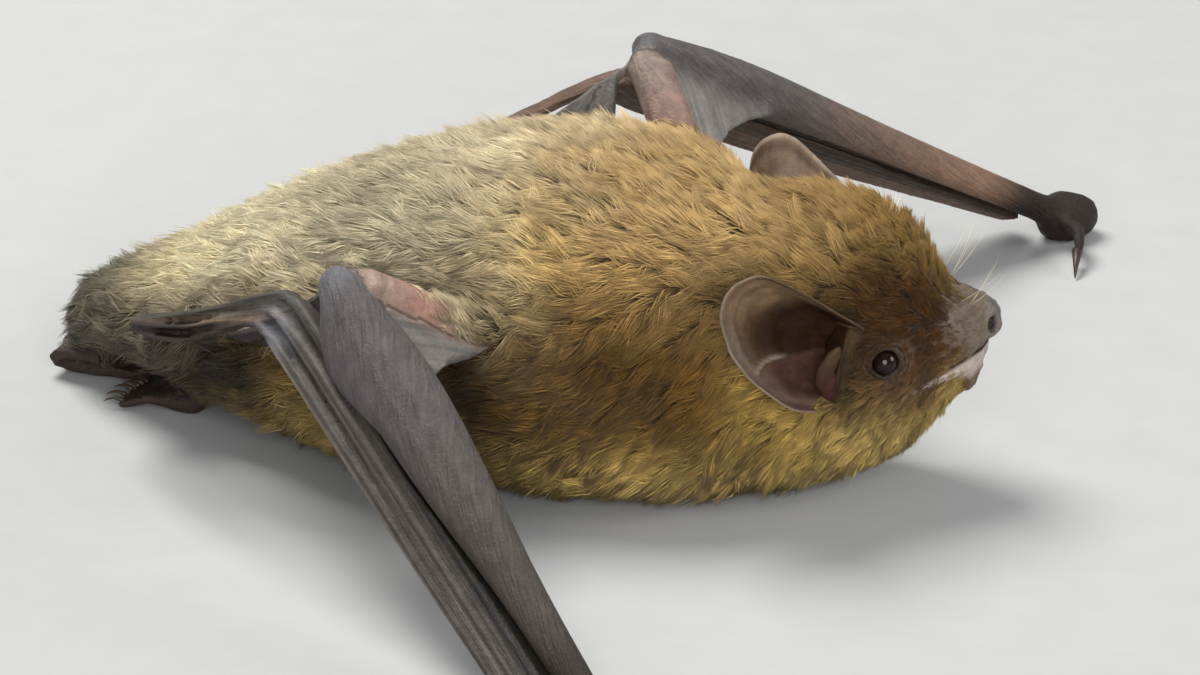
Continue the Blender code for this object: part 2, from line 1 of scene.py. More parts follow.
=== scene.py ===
"""The looks of a common pipistrelle at rest: one skin, the coat over it, ears, eyes, claws and wings.

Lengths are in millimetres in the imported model's frame until add_mesh turns them into metres.
"""

import math

import bmesh
import bpy
import numpy as np
from mathutils import Matrix, Vector
from mathutils.bvhtree import BVHTree
from mathutils.kdtree import KDTree


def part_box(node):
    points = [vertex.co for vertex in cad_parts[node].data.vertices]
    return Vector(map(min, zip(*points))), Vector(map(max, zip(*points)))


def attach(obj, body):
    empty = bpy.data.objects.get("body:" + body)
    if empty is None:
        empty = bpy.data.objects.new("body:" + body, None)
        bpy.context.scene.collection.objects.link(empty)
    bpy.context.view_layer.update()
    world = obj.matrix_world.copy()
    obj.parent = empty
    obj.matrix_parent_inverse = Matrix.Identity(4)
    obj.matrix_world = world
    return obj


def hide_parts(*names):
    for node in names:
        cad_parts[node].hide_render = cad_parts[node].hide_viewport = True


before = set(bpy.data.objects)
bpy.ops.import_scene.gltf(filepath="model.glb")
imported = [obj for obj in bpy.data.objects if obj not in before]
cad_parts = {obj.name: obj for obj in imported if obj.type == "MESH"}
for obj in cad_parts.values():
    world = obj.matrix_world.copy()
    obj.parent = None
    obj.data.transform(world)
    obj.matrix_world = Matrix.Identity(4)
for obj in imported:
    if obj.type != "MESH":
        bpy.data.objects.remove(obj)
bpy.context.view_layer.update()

MM = 0.001
SIDES = (("left", 1), ("right", -1))
rng = np.random.default_rng(20)

# ---- driving sizes ----------------------------------------------------------------------------

VOXEL, FOLD_VOXEL = 0.2, 0.12  # of the skin, and of the folded fingers with their membrane
CLOSE_CUTS = 0.17  # growth that closes the thin cuts between the solids before they become one skin
FOLD_GROWTH = 0.16  # and growth that joins the folded fingers with their membrane
CURVED_HAIRS, STRAIGHT_HAIRS, LOCKS = 66000, 188000, 6000
WHISKERS, BROW_HAIRS, LONG_WHISKERS = 44, 12, 8  # the first number is that of all of them
LONG_HAIR = 2.0
HAIR_WIDTH, WHISKER_WIDTH = 0.034, 0.011
TOES = 5

# Where the eyes sit in the head's own frame: x towards the nose, y to the bat's left, z up.
EYE_FORWARD, EYE_UP = 3.75, -0.05
HEAD_FROM_BODY = np.array((10.5, 0.2, 7.65))  # the head's origin, from the body's own origin
LIP_BACK, LIP_SLOPE = (5.0, -1.65), 0.4255  # where the lips part, and how they rise forward
NOSTRIL = (8.78, 0.98, 0.78)

# The ear from its root to its free margin, in the head's frame, for the left side.
EAR_ROOT = [(2.0, 2.8, 1.5), (1.6, 2.6, 1.4), (1.0, 2.6, 0.4), (0.9, 2.7, -0.7), (1.1, 3.0, -1.7)]
EAR_MARGIN = [
    (2.7, 4.3, 1.8),
    (1.5, 5.4, 3.0),
    (-0.6, 6.7, 4.8),
    (-2.2, 7.7, 5.8),
    (-3.6, 8.0, 5.1),
    (-3.9, 7.9, 3.3),
    (-2.9, 7.5, 0.9),
    (-1.0, 6.5, -1.2),
    (0.3, 5.3, -1.95),
]
EAR_SHIFT = {1: (1.1, 0.1, 0.95), -1: (0.0, 0.0, 0.0)}  # of the margin: the left ear is pricked forward
EAR_CUP = 1.1  # how deep the ear is hollowed
TRAGUS = [(1.7, 3.4, -1.8), (1.2, 4.0, -1.2), (0.95, 4.55, -0.4), (1.2, 4.85, 0.4), (1.6, 5.0, 1.15)]
TRAGUS_RADII = [0.6, 0.62, 0.6, 0.55, 0.36]

# ---- colours, as red, green and blue from 0 to 255 ----------------------------------------------


def paint(red, green, blue):
    """A linear colour from the everyday 0 to 255 values."""
    c = np.array((red, green, blue)) / 255
    return np.where(c > 0.04045, ((c + 0.055) / 1.055) ** 2.4, c / 12.92)


STRAW = paint(213, 199, 166)
GOLD = paint(180, 150, 98)
OLIVE = paint(146, 114, 58)
BROWN = paint(112, 80, 32)
DARK_BROWN = paint(73, 45, 15)
YELLOWISH = paint(186, 158, 92)
FACE = paint(92, 66, 44)
SNOUT_GREY = paint(98, 86, 72)
NOSE_DARK = paint(50, 42, 38)
NOSE_TIP = paint(94, 88, 86)
LIP_PINK = paint(167, 151, 143)
EAR_BROWN = paint(94, 70, 48)
# Painted shade, darker than the ears' brown skin, in their hollows and openings.
EAR_HOLLOW_SHADE = paint(38, 20, 8)
EAR_RIM = paint(107, 94, 82)
EAR_BACK = paint(106, 88, 72)
EAR_LOBE = paint(92, 70, 62)
EAR_ROOT_RED = paint(58, 32, 25)
WING_GREY = paint(76, 70, 69)
WING_WARM = paint(65, 55, 47)
WING_PINK = paint(138, 118, 104)
WING_RED = paint(148, 98, 84)
WEB_GREY = paint(96, 92, 88)
FINGER_GREY = paint(55, 50, 43)
FINGER_PALE = paint(112, 104, 90)
# A painted highlight, pale blue-grey, on the folded wing by the knuckles and by the elbow.
KNUCKLE_HIGHLIGHT = paint(120, 122, 128)
STRIP_TAN = paint(112, 88, 70)
# Painted shade under the folded fingers and on the back end of the flank membranes.
STRIP_SHADE = paint(34, 21, 17)
HAND_DARK = paint(36, 28, 22)
FAR_BROWN = paint(118, 91, 72)
FOOT_DARK = paint(46, 31, 26)
UNDERCOAT = paint(50, 34, 16)
WHISKER_BROWN = paint(120, 100, 76)
EYE_BLACK = paint(23, 10, 8)
HORN_BROWN = paint(52, 36, 26)

# The far wing, at side 1, is paler and browner than the near one, as in the photo.
WING_LOOKS = {
    1: {
        "wrist": FAR_BROWN,
        "forearm_shade": 1.15,
        "hand": HAND_DARK * (0.7, 0.55, 0.45),
        "knob_highlight": 0.15,
        "web_shade": 1.35,
        "upper_grey": 0.4,
        "fingers": FAR_BROWN * 0.6,
        "finger_lines": 0.2,
    },
    -1: {
        "wrist": WING_WARM,
        "forearm_shade": 1.0,
        "hand": HAND_DARK,
        "knob_highlight": 0.5,
        "web_shade": 1.0,
        "upper_grey": 0.0,
        "fingers": FINGER_GREY,
        "finger_lines": 1.0,
    },
}

# ---- shapes as arrays -------------------------------------------------------------------------


def unit(vectors):
    vectors = np.asarray(vectors, float)
    return vectors / np.maximum(np.linalg.norm(vectors, axis=-1, keepdims=True), 1e-9)


def ramp(value, low, high):
    """0 below low, 1 above high, and smooth between."""
    t = np.clip((value - low) / (high - low), 0, 1)
    return t * t * (3 - 2 * t)


def hump(value, width):
    return np.exp(-((value / width) ** 2))


def mixed(base, share, other):
    """base, with a share of other in its place. Share is a number from 0 to 1, or one for each point."""
    return base + np.reshape(share, (-1, 1)) * (other - base)


def layered(base, *layers):
    """base under layers of other colours, each a share and a colour, from the lowest."""
    for share, colour in layers:
        base = mixed(base, share, colour)
    return base


def near(points, place, reach):
    """1 at a place, and falling smoothly to nothing as far from it as the reach and more."""
    return hump(np.linalg.norm((points - np.array(place)) / reach, axis=1), 1.0)


def waves(points, size, seed):
    """Smooth noise from about -1 to 1, with bumps of the given size."""
    local = np.random.default_rng(seed)
    total = np.zeros(len(points))
    for _ in range(7):
        way = unit(local.normal(size=3)) * 2 * math.pi / size * local.uniform(0.5, 1.3)
        total += np.sin(points @ way + local.uniform(0, 2 * math.pi))
    return total / 3.2


def read(items, key, width, kind=np.float32):
    """One of the values that each of a mesh's items holds, as an array with a row for each item."""
    values = np.empty(len(items) * width, kind)
    items.foreach_get(key, values)
    return values.reshape(-1, width)


def node_shape(name):
    """Points and triangles of a CAD node, with the points at one place made one."""
    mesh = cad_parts[name].data
    mesh.calc_loop_triangles()
    points = read(mesh.vertices, "co", 3)
    corners = read(mesh.loop_triangles, "vertices", 3, np.int32)
    places, index = np.unique(np.round(points / MM, 3), axis=0, return_inverse=True)
    faces = index.reshape(-1)[corners]
    whole = (faces[:, 0] != faces[:, 1]) & (faces[:, 1] != faces[:, 2]) & (faces[:, 0] != faces[:, 2])
    return places.astype(float), faces[whole]


def normals_of(points, faces):
    """The normal at each point, from the faces round it."""
    p = points[faces]
    if faces.shape[1] == 3:
        across = np.cross(p[:, 1] - p[:, 0], p[:, 2] - p[:, 0])
    else:
        across = np.cross(p[:, 2] - p[:, 0], p[:, 3] - p[:, 1])
    total = np.zeros((len(points), 3))
    for corner in range(faces.shape[1]):
        for axis in range(3):
            total[:, axis] += np.bincount(faces[:, corner], across[:, axis], len(points))
    return unit(total)


def joined(shapes):
    """Several shapes' points and faces as one shape's."""
    points, faces, count = [], [], 0
    for p, f in shapes:
        points.append(p)
        faces.append(f + count)
        count += len(p)
    return np.concatenate(points), np.concatenate(faces)


def grid_faces(index):
    """Quads between the neighbours in a grid of point numbers."""
    a, b, c, d = index[:-1, :-1], index[1:, :-1], index[1:, 1:], index[:-1, 1:]
    return np.stack((a, b, c, d), -1).reshape(-1, 4)


def tube_faces(rings, count):
    """Triangles round a tube of rings of count points each, as a list."""
    faces = []
    for ring in range(rings - 1):
        for k in range(count):
            a, b = ring * count + k, ring * count + (k + 1) % count
            faces += [(a, b, b + count), (a, b + count, a + count)]
    return faces


def raw_mesh(name, points, faces):
    mesh = bpy.data.meshes.new(name)
    mesh.vertices.add(len(points))
    mesh.vertices.foreach_set("co", np.ascontiguousarray(points, np.float32).reshape(-1))
    corners = faces.shape[1]
    mesh.loops.add(faces.size)
    mesh.loops.foreach_set("vertex_index", np.ascontiguousarray(faces, np.int32).reshape(-1))
    mesh.polygons.add(len(faces))
    mesh.polygons.foreach_set("loop_start", np.arange(0, faces.size, corners, dtype=np.int32))
    mesh.update(calc_edges=True)
    return mesh


def placed(name, data):
    """A new object in the scene, made of a mesh, lamp or camera."""
    obj = bpy.data.objects.new(name, data)
    bpy.context.scene.collection.objects.link(obj)
    return obj


def remeshed(points, faces, voxel):
    """One closed surface round all the shapes, as points and quads."""
    obj = placed("voxels", raw_mesh("voxels", points, faces))
    modifier = obj.modifiers.new("voxels", "REMESH")
    modifier.mode = "VOXEL"
    modifier.voxel_size = voxel
    bpy.context.view_layer.update()
    made = bpy.data.meshes.new_from_object(obj.evaluated_get(bpy.context.evaluated_depsgraph_get()))
    bpy.data.objects.remove(obj)
    corners = read(made.loops, "vertex_index", 1, np.int32)
    return read(made.vertices, "co", 3).astype(float), corners.reshape(-1, 4)


def edges_of(faces):
    corners = faces.shape[1]
    ends = np.concatenate([faces[:, [k, (k + 1) % corners]] for k in range(corners)])
    return np.unique(np.sort(ends, axis=1), axis=0)


def spread(values, edges, rounds, pull=0.7):
    """Values at the points, evened out with their neighbours'."""
    values = np.array(values, float)
    flat = values.reshape(len(values), -1)
    count = np.bincount(edges.reshape(-1), minlength=len(flat))[:, None]
    for _ in range(rounds):
        total = np.zeros_like(flat)
        for column in range(flat.shape[1]):
            total[:, column] = np.bincount(edges[:, 0], flat[edges[:, 1], column], len(flat))
            total[:, column] += np.bincount(edges[:, 1], flat[edges[:, 0], column], len(flat))
        flat = flat + pull * (total / np.maximum(count, 1) - flat)
    return flat.reshape(values.shape)


def tree_of(points, faces):
    return BVHTree.FromPolygons(points.tolist(), faces.tolist())


def nearest(tree, points):
    """For each point, the nearest place on the surface, its normal and its face."""
    places, ways, found = [], [], []
    for p in points.tolist():
        place, way, index, _ = tree.find_nearest(p)
        places.append(place)
        ways.append(way)
        found.append(index)
    return np.array(places), np.array(ways), np.array(found)


# ---- pieces -----------------------------------------------------------------------------------


def add_mesh(name, points, faces, worn, colours=None, folds=None, stands_for=(), slot=None, map_=None):
    """Turns arrays into a smooth piece of the bat that rides on its body."""
    mesh = raw_mesh(name, np.asarray(points) * MM, np.asarray(faces))
    mesh.materials.append(worn)
    if colours is not None:
        tint = mesh.attributes.new("tint", "FLOAT_COLOR", "POINT")
        full = np.ones((len(points), 4), np.float32)
        full[:, :3] = colours
        tint.data.foreach_set("color", full.reshape(-1))
    if folds is not None:
        fold = mesh.attributes.new("fold", "FLOAT_VECTOR", "POINT")
        fold.data.foreach_set("vector", np.asarray(folds, np.float32).reshape(-1))
    if map_ is not None:
        layer = mesh.uv_layers.new(name="OFBake")
        places = np.asarray(map_, np.float32)[np.asarray(faces).reshape(-1)]
        layer.data.foreach_set("uv", places.reshape(-1))
    mesh.shade_smooth()
    obj = bpy.data.objects.new(name, mesh)
    bpy.context.scene.collection.objects.link(obj)
    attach(obj, "root")
    if stands_for:
        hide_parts(*stands_for)
    return obj


# ---- the head's own frame ---------------------------------------------------------------------


def middle(node):
    low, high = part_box(node)
    return (np.array(low) + np.array(high)) / 2 / MM


eyes = {side: middle(f"eye_{word}") for word, side in SIDES}
eye_radius = (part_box("eye_left")[1][2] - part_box("eye_left")[0][2]) / 2 / MM
HEAD_LEFT = unit(eyes[1] - eyes[-1])
HEAD_AHEAD = np.cross(HEAD_LEFT, (0, 0, 1))
HEAD_AXES = np.array((HEAD_AHEAD, HEAD_LEFT, (0, 0, 1)))
head_origin = (eyes[1] + eyes[-1]) / 2 - EYE_FORWARD * HEAD_AHEAD - np.array((0, 0, EYE_UP))
body_origin = head_origin - HEAD_FROM_BODY


def to_head(points):
    return (np.asarray(points) - head_origin) @ HEAD_AXES.T


def from_head(points):
    return np.asarray(points) @ HEAD_AXES + head_origin


# ---- the ears' shape ---------------------------------------------------------------------------


def curve_through(rows, count):
    """count points along a smooth curve through rows."""
    rows = np.array(rows, float)
    ends = np.concatenate([[2 * rows[0] - rows[1]], rows, [2 * rows[-1] - rows[-2]]])
    out = []
    for place in np.linspace(0, len(rows) - 1 - 1e-9, count):
        k, t = int(place), place - int(place)
        a, b, c, d = ends[k : k + 4]
        out.append(
            0.5
            * (2 * b + (c - a) * t + (2 * a - 5 * b + 4 * c - d) * t**2 + (3 * b - a - 3 * c + d) * t**3)
        )
    return np.array(out)


def thick_sheet(grid, thickness):
    """A closed thin shape whose middle surface is a grid of points. Thickness is one for each point."""
    rows, columns = grid.shape[:2]
    across = unit(np.cross(np.gradient(grid, axis=0), np.gradient(grid, axis=1)))
    above, below = grid + 0.5 * thickness[..., None] * across, grid - 0.5 * thickness[..., None] * across
    points = np.concatenate([above.reshape(-1, 3), below.reshape(-1, 3)])
    index = np.arange(rows * columns).reshape(rows, columns)
    top = grid_faces(index)
    under = top[:, ::-1] + rows * columns
    rim = [*index[0, :], *index[1:, -1], *index[-1, -2::-1], *index[-2:0:-1, 0]]
    ends = list(zip(rim, rim[1:] + rim[:1]))
    sides = np.array([(a, b, b + rows * columns, a + rows * columns) for a, b in ends])
    return points, np.concatenate([top, under, sides])


EAR_ROWS, EAR_COLUMNS = 96, 56
EAR_FOLD_HEIGHT = 0.3  # of the fold across the ear over its lobe, in the head's frame


def ear_fold(along, out, x, z, width):
    """1 on the fold that runs across the back half of an ear, over its lobe."""
    line = hump(z - EAR_FOLD_HEIGHT - 0.1 * np.sin(2.5 * x), width)
    return line * ramp(out, 0.25, 0.4) * ramp(along, 0.4, 0.6)


def ear_shape(side):
    """An ear's points and faces, and for each point its share along and out, and its x and z on the head."""
    shift = np.array(EAR_SHIFT[side])
    root = curve_through(EAR_ROOT, EAR_ROWS)
    margin = curve_through(EAR_MARGIN, EAR_ROWS) + shift
    along = np.linspace(0, 1, EAR_ROWS)[:, None]
    out = np.linspace(0, 1, EAR_COLUMNS)[None, :]
    cup = EAR_CUP * np.sin(math.pi * out) * np.sin(math.pi * along) ** 0.7
    grid = root[:, None] * (1 - out[..., None]) + margin[:, None] * out[..., None]
    grid = grid + cup[..., None] * np.array((-0.75, -0.45, 0.1))
    plain = grid - out[..., None] * shift
    x, z = plain[..., 0], plain[..., 2]
    lobe = hump(z + 0.9, 0.75) * ramp(out, 0.2, 0.45) * ramp(along, 0.4, 0.6)
    shaped = (0.22 * ear_fold(along, out, x, z, 0.12) - 0.24 * lobe) * (1 - ramp(out, 0.9, 1.0))
    ridges = 0.045 * np.sin(2 * math.pi * 6.5 * out + 2.0 * along) * hump(along - 0.45, 0.22)
    ridges = ridges * ramp(out, 0.3, 0.55) * (1 - ramp(out, 0.8, 0.95))
    roll = 0.14 * ramp(out, 0.84, 1.0) ** 2 + 0.30 * ramp(out, 0.8, 1.0) ** 2 * ramp(along, 0.72, 0.9)
    rough = 0.05 * waves(plain.reshape(-1, 3), 1.4, 61) + 0.025 * waves(plain.reshape(-1, 3), 0.6, 62)
    height = shaped + ridges + roll + rough.reshape(x.shape)
    grid = grid + height[..., None] * np.array((0.7, 0.6, 0.1))
    thickness = np.broadcast_to(0.10 + 0.24 * (1 - ramp(out, 0.0, 0.4)), x.shape)
    grid[..., 1] *= side
    points, faces = thick_sheet(from_head(grid.reshape(-1, 3)).reshape(grid.shape), thickness)
    fields = [np.tile(np.broadcast_to(f, x.shape).reshape(-1), 2) for f in (along, out, x, z)]
    return points, faces if side > 0 else faces[:, ::-1], *fields


def behind_ear(h, side):
    """How far the skin must go inwards to lie behind an ear's sheet and the front wall of its opening."""
    points = ear_shape(side)[0]
    sheet = to_head(points[: EAR_ROWS * EAR_COLUMNS]).reshape(EAR_ROWS, EAR_COLUMNS, 3) * (1, side, 1)
    reach = np.arange(6, 0, -1)[None, :, None] * 0.45
    wall = sheet[:, :1] + reach * np.array((0.42, 1.0, 0.0))
    grid = np.concatenate([wall, sheet], axis=1)
    rows, columns = grid.shape[:2]
    tree = tree_of(grid.reshape(-1, 3), grid_faces(np.arange(rows * columns).reshape(rows, columns)))
    inwards = np.zeros(len(h))
    out = side * h[:, 1]
    by_ear = (np.abs(h[:, 0]) < 4.5) & (np.abs(h[:, 2]) < 7.0) & (out > 1.5) & (out < 6.5)
    for k in np.flatnonzero(by_ear):
        hit = tree.ray_cast((h[k, 0], 12.0, h[k, 2]), (0, -1, 0))[0]
        if hit is not None:
            inwards[k] = max(0.0, out[k] - hit[1] + 0.16)
    return np.minimum(inwards, 2.2)


# ---- the skin ---------------------------------------------------------------------------------

PARTS = {
    "torso": ["trunk", "neck"],
    "head": ["head"],
    "snout": ["muzzle", "jaw"],
    "arm": ["upper_arm_left", "upper_arm_right"],
    "forearm": ["forearm_left", "forearm_right"],
    "hand": ["hand_left", "hand_right", "thumb_left", "thumb_right"],
    "web": ["web_left", "web_right", "flank_membrane_left", "flank_membrane_right"],
    "tail_web": ["tail_membrane_left", "tail_membrane_right"],
    "leg": ["thigh_left", "thigh_right", "shin_left", "shin_right"],
    "foot": ["foot_left", "foot_right", "tail"],
}
SKIN_NODES = [n for names in PARTS.values() for n in names]
# Coat depth, hair length, hairs for each area (1 is the back's), and the skin's colour.
LOOKS = {
    "torso": (1.05, LONG_HAIR, 1.0, UNDERCOAT),
    "head": (0.6, 2.1, 1.0, UNDERCOAT),
    "snout": (0.0, 0.5, 0.1, SNOUT_GREY),
    "arm": (0.0, 0.9, 0.0, WING_PINK),
    "forearm": (0.0, 0.5, 0.0, WING_GREY),
    "hand": (0.0, 0.4, 0.0, HAND_DARK),
    "web": (0.0, 0.6, 0.0, WEB_GREY),
    "tail_web": (0.0, 0.6, 0.05, FOOT_DARK),
    "leg": (0.15, 1.0, 0.3, FOOT_DARK),
    "foot": (0.0, 0.5, 0.05, FOOT_DARK),
}


def on_parts(kinds, *names):
    """Which points lie on the named parts of the body."""
    return np.isin(kinds, [list(PARTS).index(n) for n in names])


def ball(centre, radius, rings=40, segments=64):
    slope = np.linspace(0, math.pi, rings + 1)[:, None]
    turn = np.linspace(0, 2 * math.pi, segments, endpoint=False)[None, :]
    x, y, z = np.sin(slope) * np.cos(turn), np.sin(slope) * np.sin(turn), np.cos(slope) + 0 * turn
    points = np.stack((x, y, z), -1).reshape(-1, 3) * radius + centre
    index = np.arange((rings + 1) * segments).reshape(rings + 1, segments)
    return points, grid_faces(np.concatenate([index, index[:, :1]], axis=1))


def limb_axis(node):
    """The two ends of a long straight node, the higher one first."""
    points, _ = node_shape(node)
    centre = points.mean(axis=0)
    way = np.linalg.svd(points - centre, full_matrices=False)[2][0]
    reach = (points - centre) @ way
    ends = centre + reach.min() * way, centre + reach.max() * way
    return sorted(ends, key=lambda p: -p[2])


def grown_nodes(names, by):
    shapes = []
    for name in names:
        points, faces = node_shape(name)
        shapes.append((points + by * normals_of(points, faces), faces))
    return joined(shapes)


def joint_balls():
    """Balls inside the elbows and wrists, where the solids stay apart."""
    places = []
    for word, _ in SIDES:
        elbow, wrist = limb_axis(f"forearm_{word}")
        elbow_end = limb_axis(f"upper_arm_{word}")[0]
        arm = unit(wrist - elbow)
        for share, radius in ((0.0, 1.0), (0.3, 0.95), (0.65, 0.95), (1.0, 1.0)):
            places.append(((1 - share) * (elbow + 0.9 * arm) + share * elbow_end, radius))
        places += [(wrist - 0.3 * arm, 0.95), (wrist + 0.4 * arm, 1.0)]
    shapes = [ball(place, radius, 12, 16) for place, radius in places]
    return [(p, np.concatenate([f[:, :3], f[:, [0, 2, 3]]])) for p, f in shapes]


def refine_face(points, quads):
    """Splits the faces of the head's front in four, and the muzzle's and eyes' again. Returns triangles."""
    mesh = raw_mesh("refined", points, quads)
    shape = bmesh.new()
    shape.from_mesh(mesh)
    for finer in (False, True):
        h = to_head(np.array([v.co for v in shape.verts]))
        wanted = (h[:, 0] > 1.0) & (np.abs(h[:, 1]) < 6.5) & (np.abs(h[:, 2]) < 8.5)
        if finer:
            off_eye = np.linalg.norm(np.abs(h) - np.abs((EYE_FORWARD, 3.6, EYE_UP)), axis=1)
            wanted &= (h[:, 0] > 6.3) & (h[:, 2] > -3.2) | (off_eye < 1.6)
        shape.verts.index_update()
        edges = [e for e in shape.edges if wanted[e.verts[0].index] and wanted[e.verts[1].index]]
        bmesh.ops.subdivide_edges(shape, edges=edges, cuts=1, use_grid_fill=True)
    bmesh.ops.triangulate(shape, faces=shape.faces[:])
    shape.to_mesh(mesh)
    shape.free()
    points = read(mesh.vertices, "co", 3).astype(float)
    faces = read(mesh.loops, "vertex_index", 1, np.int32).reshape(-1, 3)
    bpy.data.meshes.remove(mesh)
    return points, faces


def part_of_each(points):
    """For each point, the index in PARTS of the part of the body that it lies on."""
    shapes, marks = [], []
    for index, names in enumerate(PARTS.values()):
        shape = joined([node_shape(n) for n in names])
        shapes.append(shape)
        marks += [index] * len(shape[1])
    found = nearest(tree_of(*joined(shapes)), points)[2]
    return np.array(marks)[found]


def lip_height(x):
    return LIP_BACK[1] + LIP_SLOPE * (x - LIP_BACK[0])


def ear_mouth(h):
    """1 in the bare hollow between each ear's root and its front border, for points in the head's frame."""
    x, out, z = h[:, 0], np.abs(h[:, 1]), h[:, 2]
    front = 1.7 + 0.35 * ramp(z, -0.5, 1.5)
    inside = ramp(front - x, -0.15, 0.2) * ramp(x, -1.1, -0.7)
    return inside * ramp(z, -2.0, -1.6) * (1 - ramp(z, 1.5, 2.0)) * ramp(out, 2.6, 3.2)


def head_coat(h):
    """Coat depth, hair length and density on the head and snout, for points in the head's frame."""
    x, y, z = h.T
    bare = ramp(x + 0.3 * waves(h, 1.3, 41) - 0.7 * ramp(-z, -0.8, 1.6), 6.5, 7.6)
    low = ramp(-z, 0.6, 2.2)
    top = ramp(z, 0.8, 2.4)
    around_eye = np.zeros(len(h))
    for side in (1, -1):
        away = np.linalg.norm(h - (EYE_FORWARD + 0.3, 3.9 * side, EYE_UP), axis=1)
        around_eye = np.maximum(around_eye, 1 - ramp(away, 0.8, 2.0))
    temple = near(np.stack((x, np.abs(y), z), 1), (2.3, 4.3, -0.2), (0.9, 1.8, 1.17))
    snout = (1 - top) * (1 - low) * ramp(x, 3.2, 5.6)
    length = (2.1 - 0.6 * ramp(x, 0.0, 4.5)) * (1 - 0.6 * snout) * (1 - 0.3 * low)
    length = length * (1 - 0.6 * around_eye) * (1 - 0.72 * bare) * (1 - 0.5 * temple)
    depth = (0.9 - 0.3 * ramp(x, 0.5, 6.0) - 0.1 * low) * (1 - 0.7 * snout)
    depth = depth * (1 - 0.75 * around_eye) * (1 - 0.97 * bare) * (1 - 0.5 * temple)
    density = (1.1 + 0.7 * ramp(x, 2.5, 5.5)) * (1 - 0.35 * around_eye) * (1 - 0.45 * temple)
    density = density * (1 - 0.86 * bare) * (1 - 0.95 * ramp(x, 7.6, 8.3))
    lip = hump(z - lip_height(x) + 0.42, 0.38) * ramp(x, 4.7, 5.8)
    mouth = ear_mouth(h)
    return depth * (1 - mouth) * (1 - 0.7 * lip), length, density * (1 - mouth) * (1 - 0.85 * lip)


# Folds of skin round the eye: how many eye radii from its middle each lies, its height and its width.
LID_FOLDS = ((1.43, -0.09, 0.07), (1.60, 0.10, 0.10), (1.80, -0.07, 0.08), (2.0, 0.05, 0.12))


def eye_shape(h, side):
    """Sets the skin round one eye: a pit behind the ball, the lids' edge, and wrinkles round it."""
    centre = np.array((EYE_FORWARD, to_head(eyes[side])[1], EYE_UP))
    out = unit(np.array((0.22, side, 0.12)))
    along = unit(np.cross(out, (0, 0, 1.0)))
    up = np.cross(along, out)
    rel = h - centre
    height = rel @ out
    turn = np.arctan2(rel @ up, rel @ along)
    around = np.hypot(rel @ along / 1.06, rel @ up / 0.95) / eye_radius
    around = around + 0.05 * np.sin(2 * turn + 0.7) + 0.03 * np.sin(5 * turn)
    natural = 0.30 * eye_radius
    edge = ramp(around, 0.90, 1.02)
    wrinkled = around + 0.10 * waves(h, 0.9, 43)
    level = -0.7 * (1 - edge) + edge * (0.38 + 0.10 * hump(wrinkled - 1.22, 0.13))
    for place, rise, width in LID_FOLDS:
        level += rise * hump(wrinkled - place, width)
    level += 0.05 * edge * waves(h, 0.30, 42)
    target = level * eye_radius - natural * ramp(around, 1.2, 2.2)
    weight = (1 - ramp(around, 1.6, 2.5)) * (height > -1.3) * (height < 2.2)
    moved = h + ((target - height) * weight)[:, None] * out
    return np.where((weight > 0)[:, None], moved, h), weight, around


def nostril_place(h):
    """How far points of the head's frame lie from the nearer nostril's middle; its edge is at 1."""
    x, y, z = h.T
    out = np.abs(y)
    tilt = (z - NOSTRIL[2]) + 0.35 * (x - NOSTRIL[0])
    slit = np.hypot((x - NOSTRIL[0] - 0.25 * (z - NOSTRIL[2])) / 0.24, tilt / 0.36)
    return np.hypot(slit, (out - NOSTRIL[1]) / 0.6)


def face_relief(h):
    """How far the bare face's folds stand out of the skin or lie in it."""
    x, y, z = h.T
    out = np.abs(y)
    lips = z - lip_height(x) + 0.04 * waves(h, 1.1, 45)
    front = ramp(x, 4.9, 5.9)
    rise = -0.30 * hump(lips, 0.10) * front
    rise += 0.07 * hump(lips - 0.34, 0.22) * front
    rise += 0.10 * hump(lips + 0.50, 0.36) * ramp(x, 6.0, 7.6)
    rise -= 0.06 * hump(lips + 1.15, 0.14) * ramp(x, 5.8, 7.0)
    rise -= 0.22 * hump(z - 0.02, 0.22) * ramp(x, 8.2, 8.8)
    nostril = nostril_place(h)
    rise += 0.13 * hump(nostril - 1.5, 0.45) - 0.50 * (1 - ramp(nostril, 0.7, 1.1))
    rise -= 0.10 * hump(out, 0.14) * ramp(x, 8.3, 8.9) * ramp(z, -0.3, 0.4)
    sides = np.stack((x, out, z), 1)
    rise += 0.18 * near(sides, (6.6, 2.55, 0.6), (1.1, 0.8, 0.75))  # the gland on the snout
    rise += 0.08 * near(sides, (5.2, 3.3, -1.0), (0.9, 0.7, 0.5))  # the cheek
    snout = ramp(x, 5.8, 6.8)
    for size, seed, deep in ((0.85, 46, 0.035), (0.42, 47, 0.022), (0.22, 48, 0.014)):
        rise += deep * waves(h * (1.0, 1.0, 1.35), size, seed) * snout
    for level, share in ((0.75, 0.05), (1.15, 0.04), (1.6, 0.035)):
        crease = lips - level - 0.22 * np.sin(1.5 * x + 3 * level)
        rise -= share * hump(crease, 0.07) * ramp(x, 5.4, 6.4) * (1 - ramp(x, 7.9, 8.5))
    return rise


def ours(points, side):
    """Which points lie on one side of the body."""
    return side * (points[:, 1] - body_origin[1]) > 0


def arm_places(points, word):
    """How far along a side's upper arm points lie, from the elbow at 0 to the shoulder at 1."""
    elbow_end, shoulder_end = limb_axis(f"upper_arm_{word}")
    way = shoulder_end - elbow_end
    return (points - elbow_end) @ way / (way @ way)


# The way from the forearm to the folded fingers, and how far the skin by the elbow spreads that way.
FOLD_WAY = {1: (-0.72, 0.18, -0.62), -1: (-0.675, 0.0, -0.738)}
ARM_BREADTH = 1.3


def arm_and_fold(elbow, wrist, side):
    """The unit vectors along a side's forearm and from it to the folded fingers."""
    arm = unit(wrist - elbow)
    fold_way = np.array(FOLD_WAY[side])
    return arm, unit(fold_way - fold_way @ arm * arm)


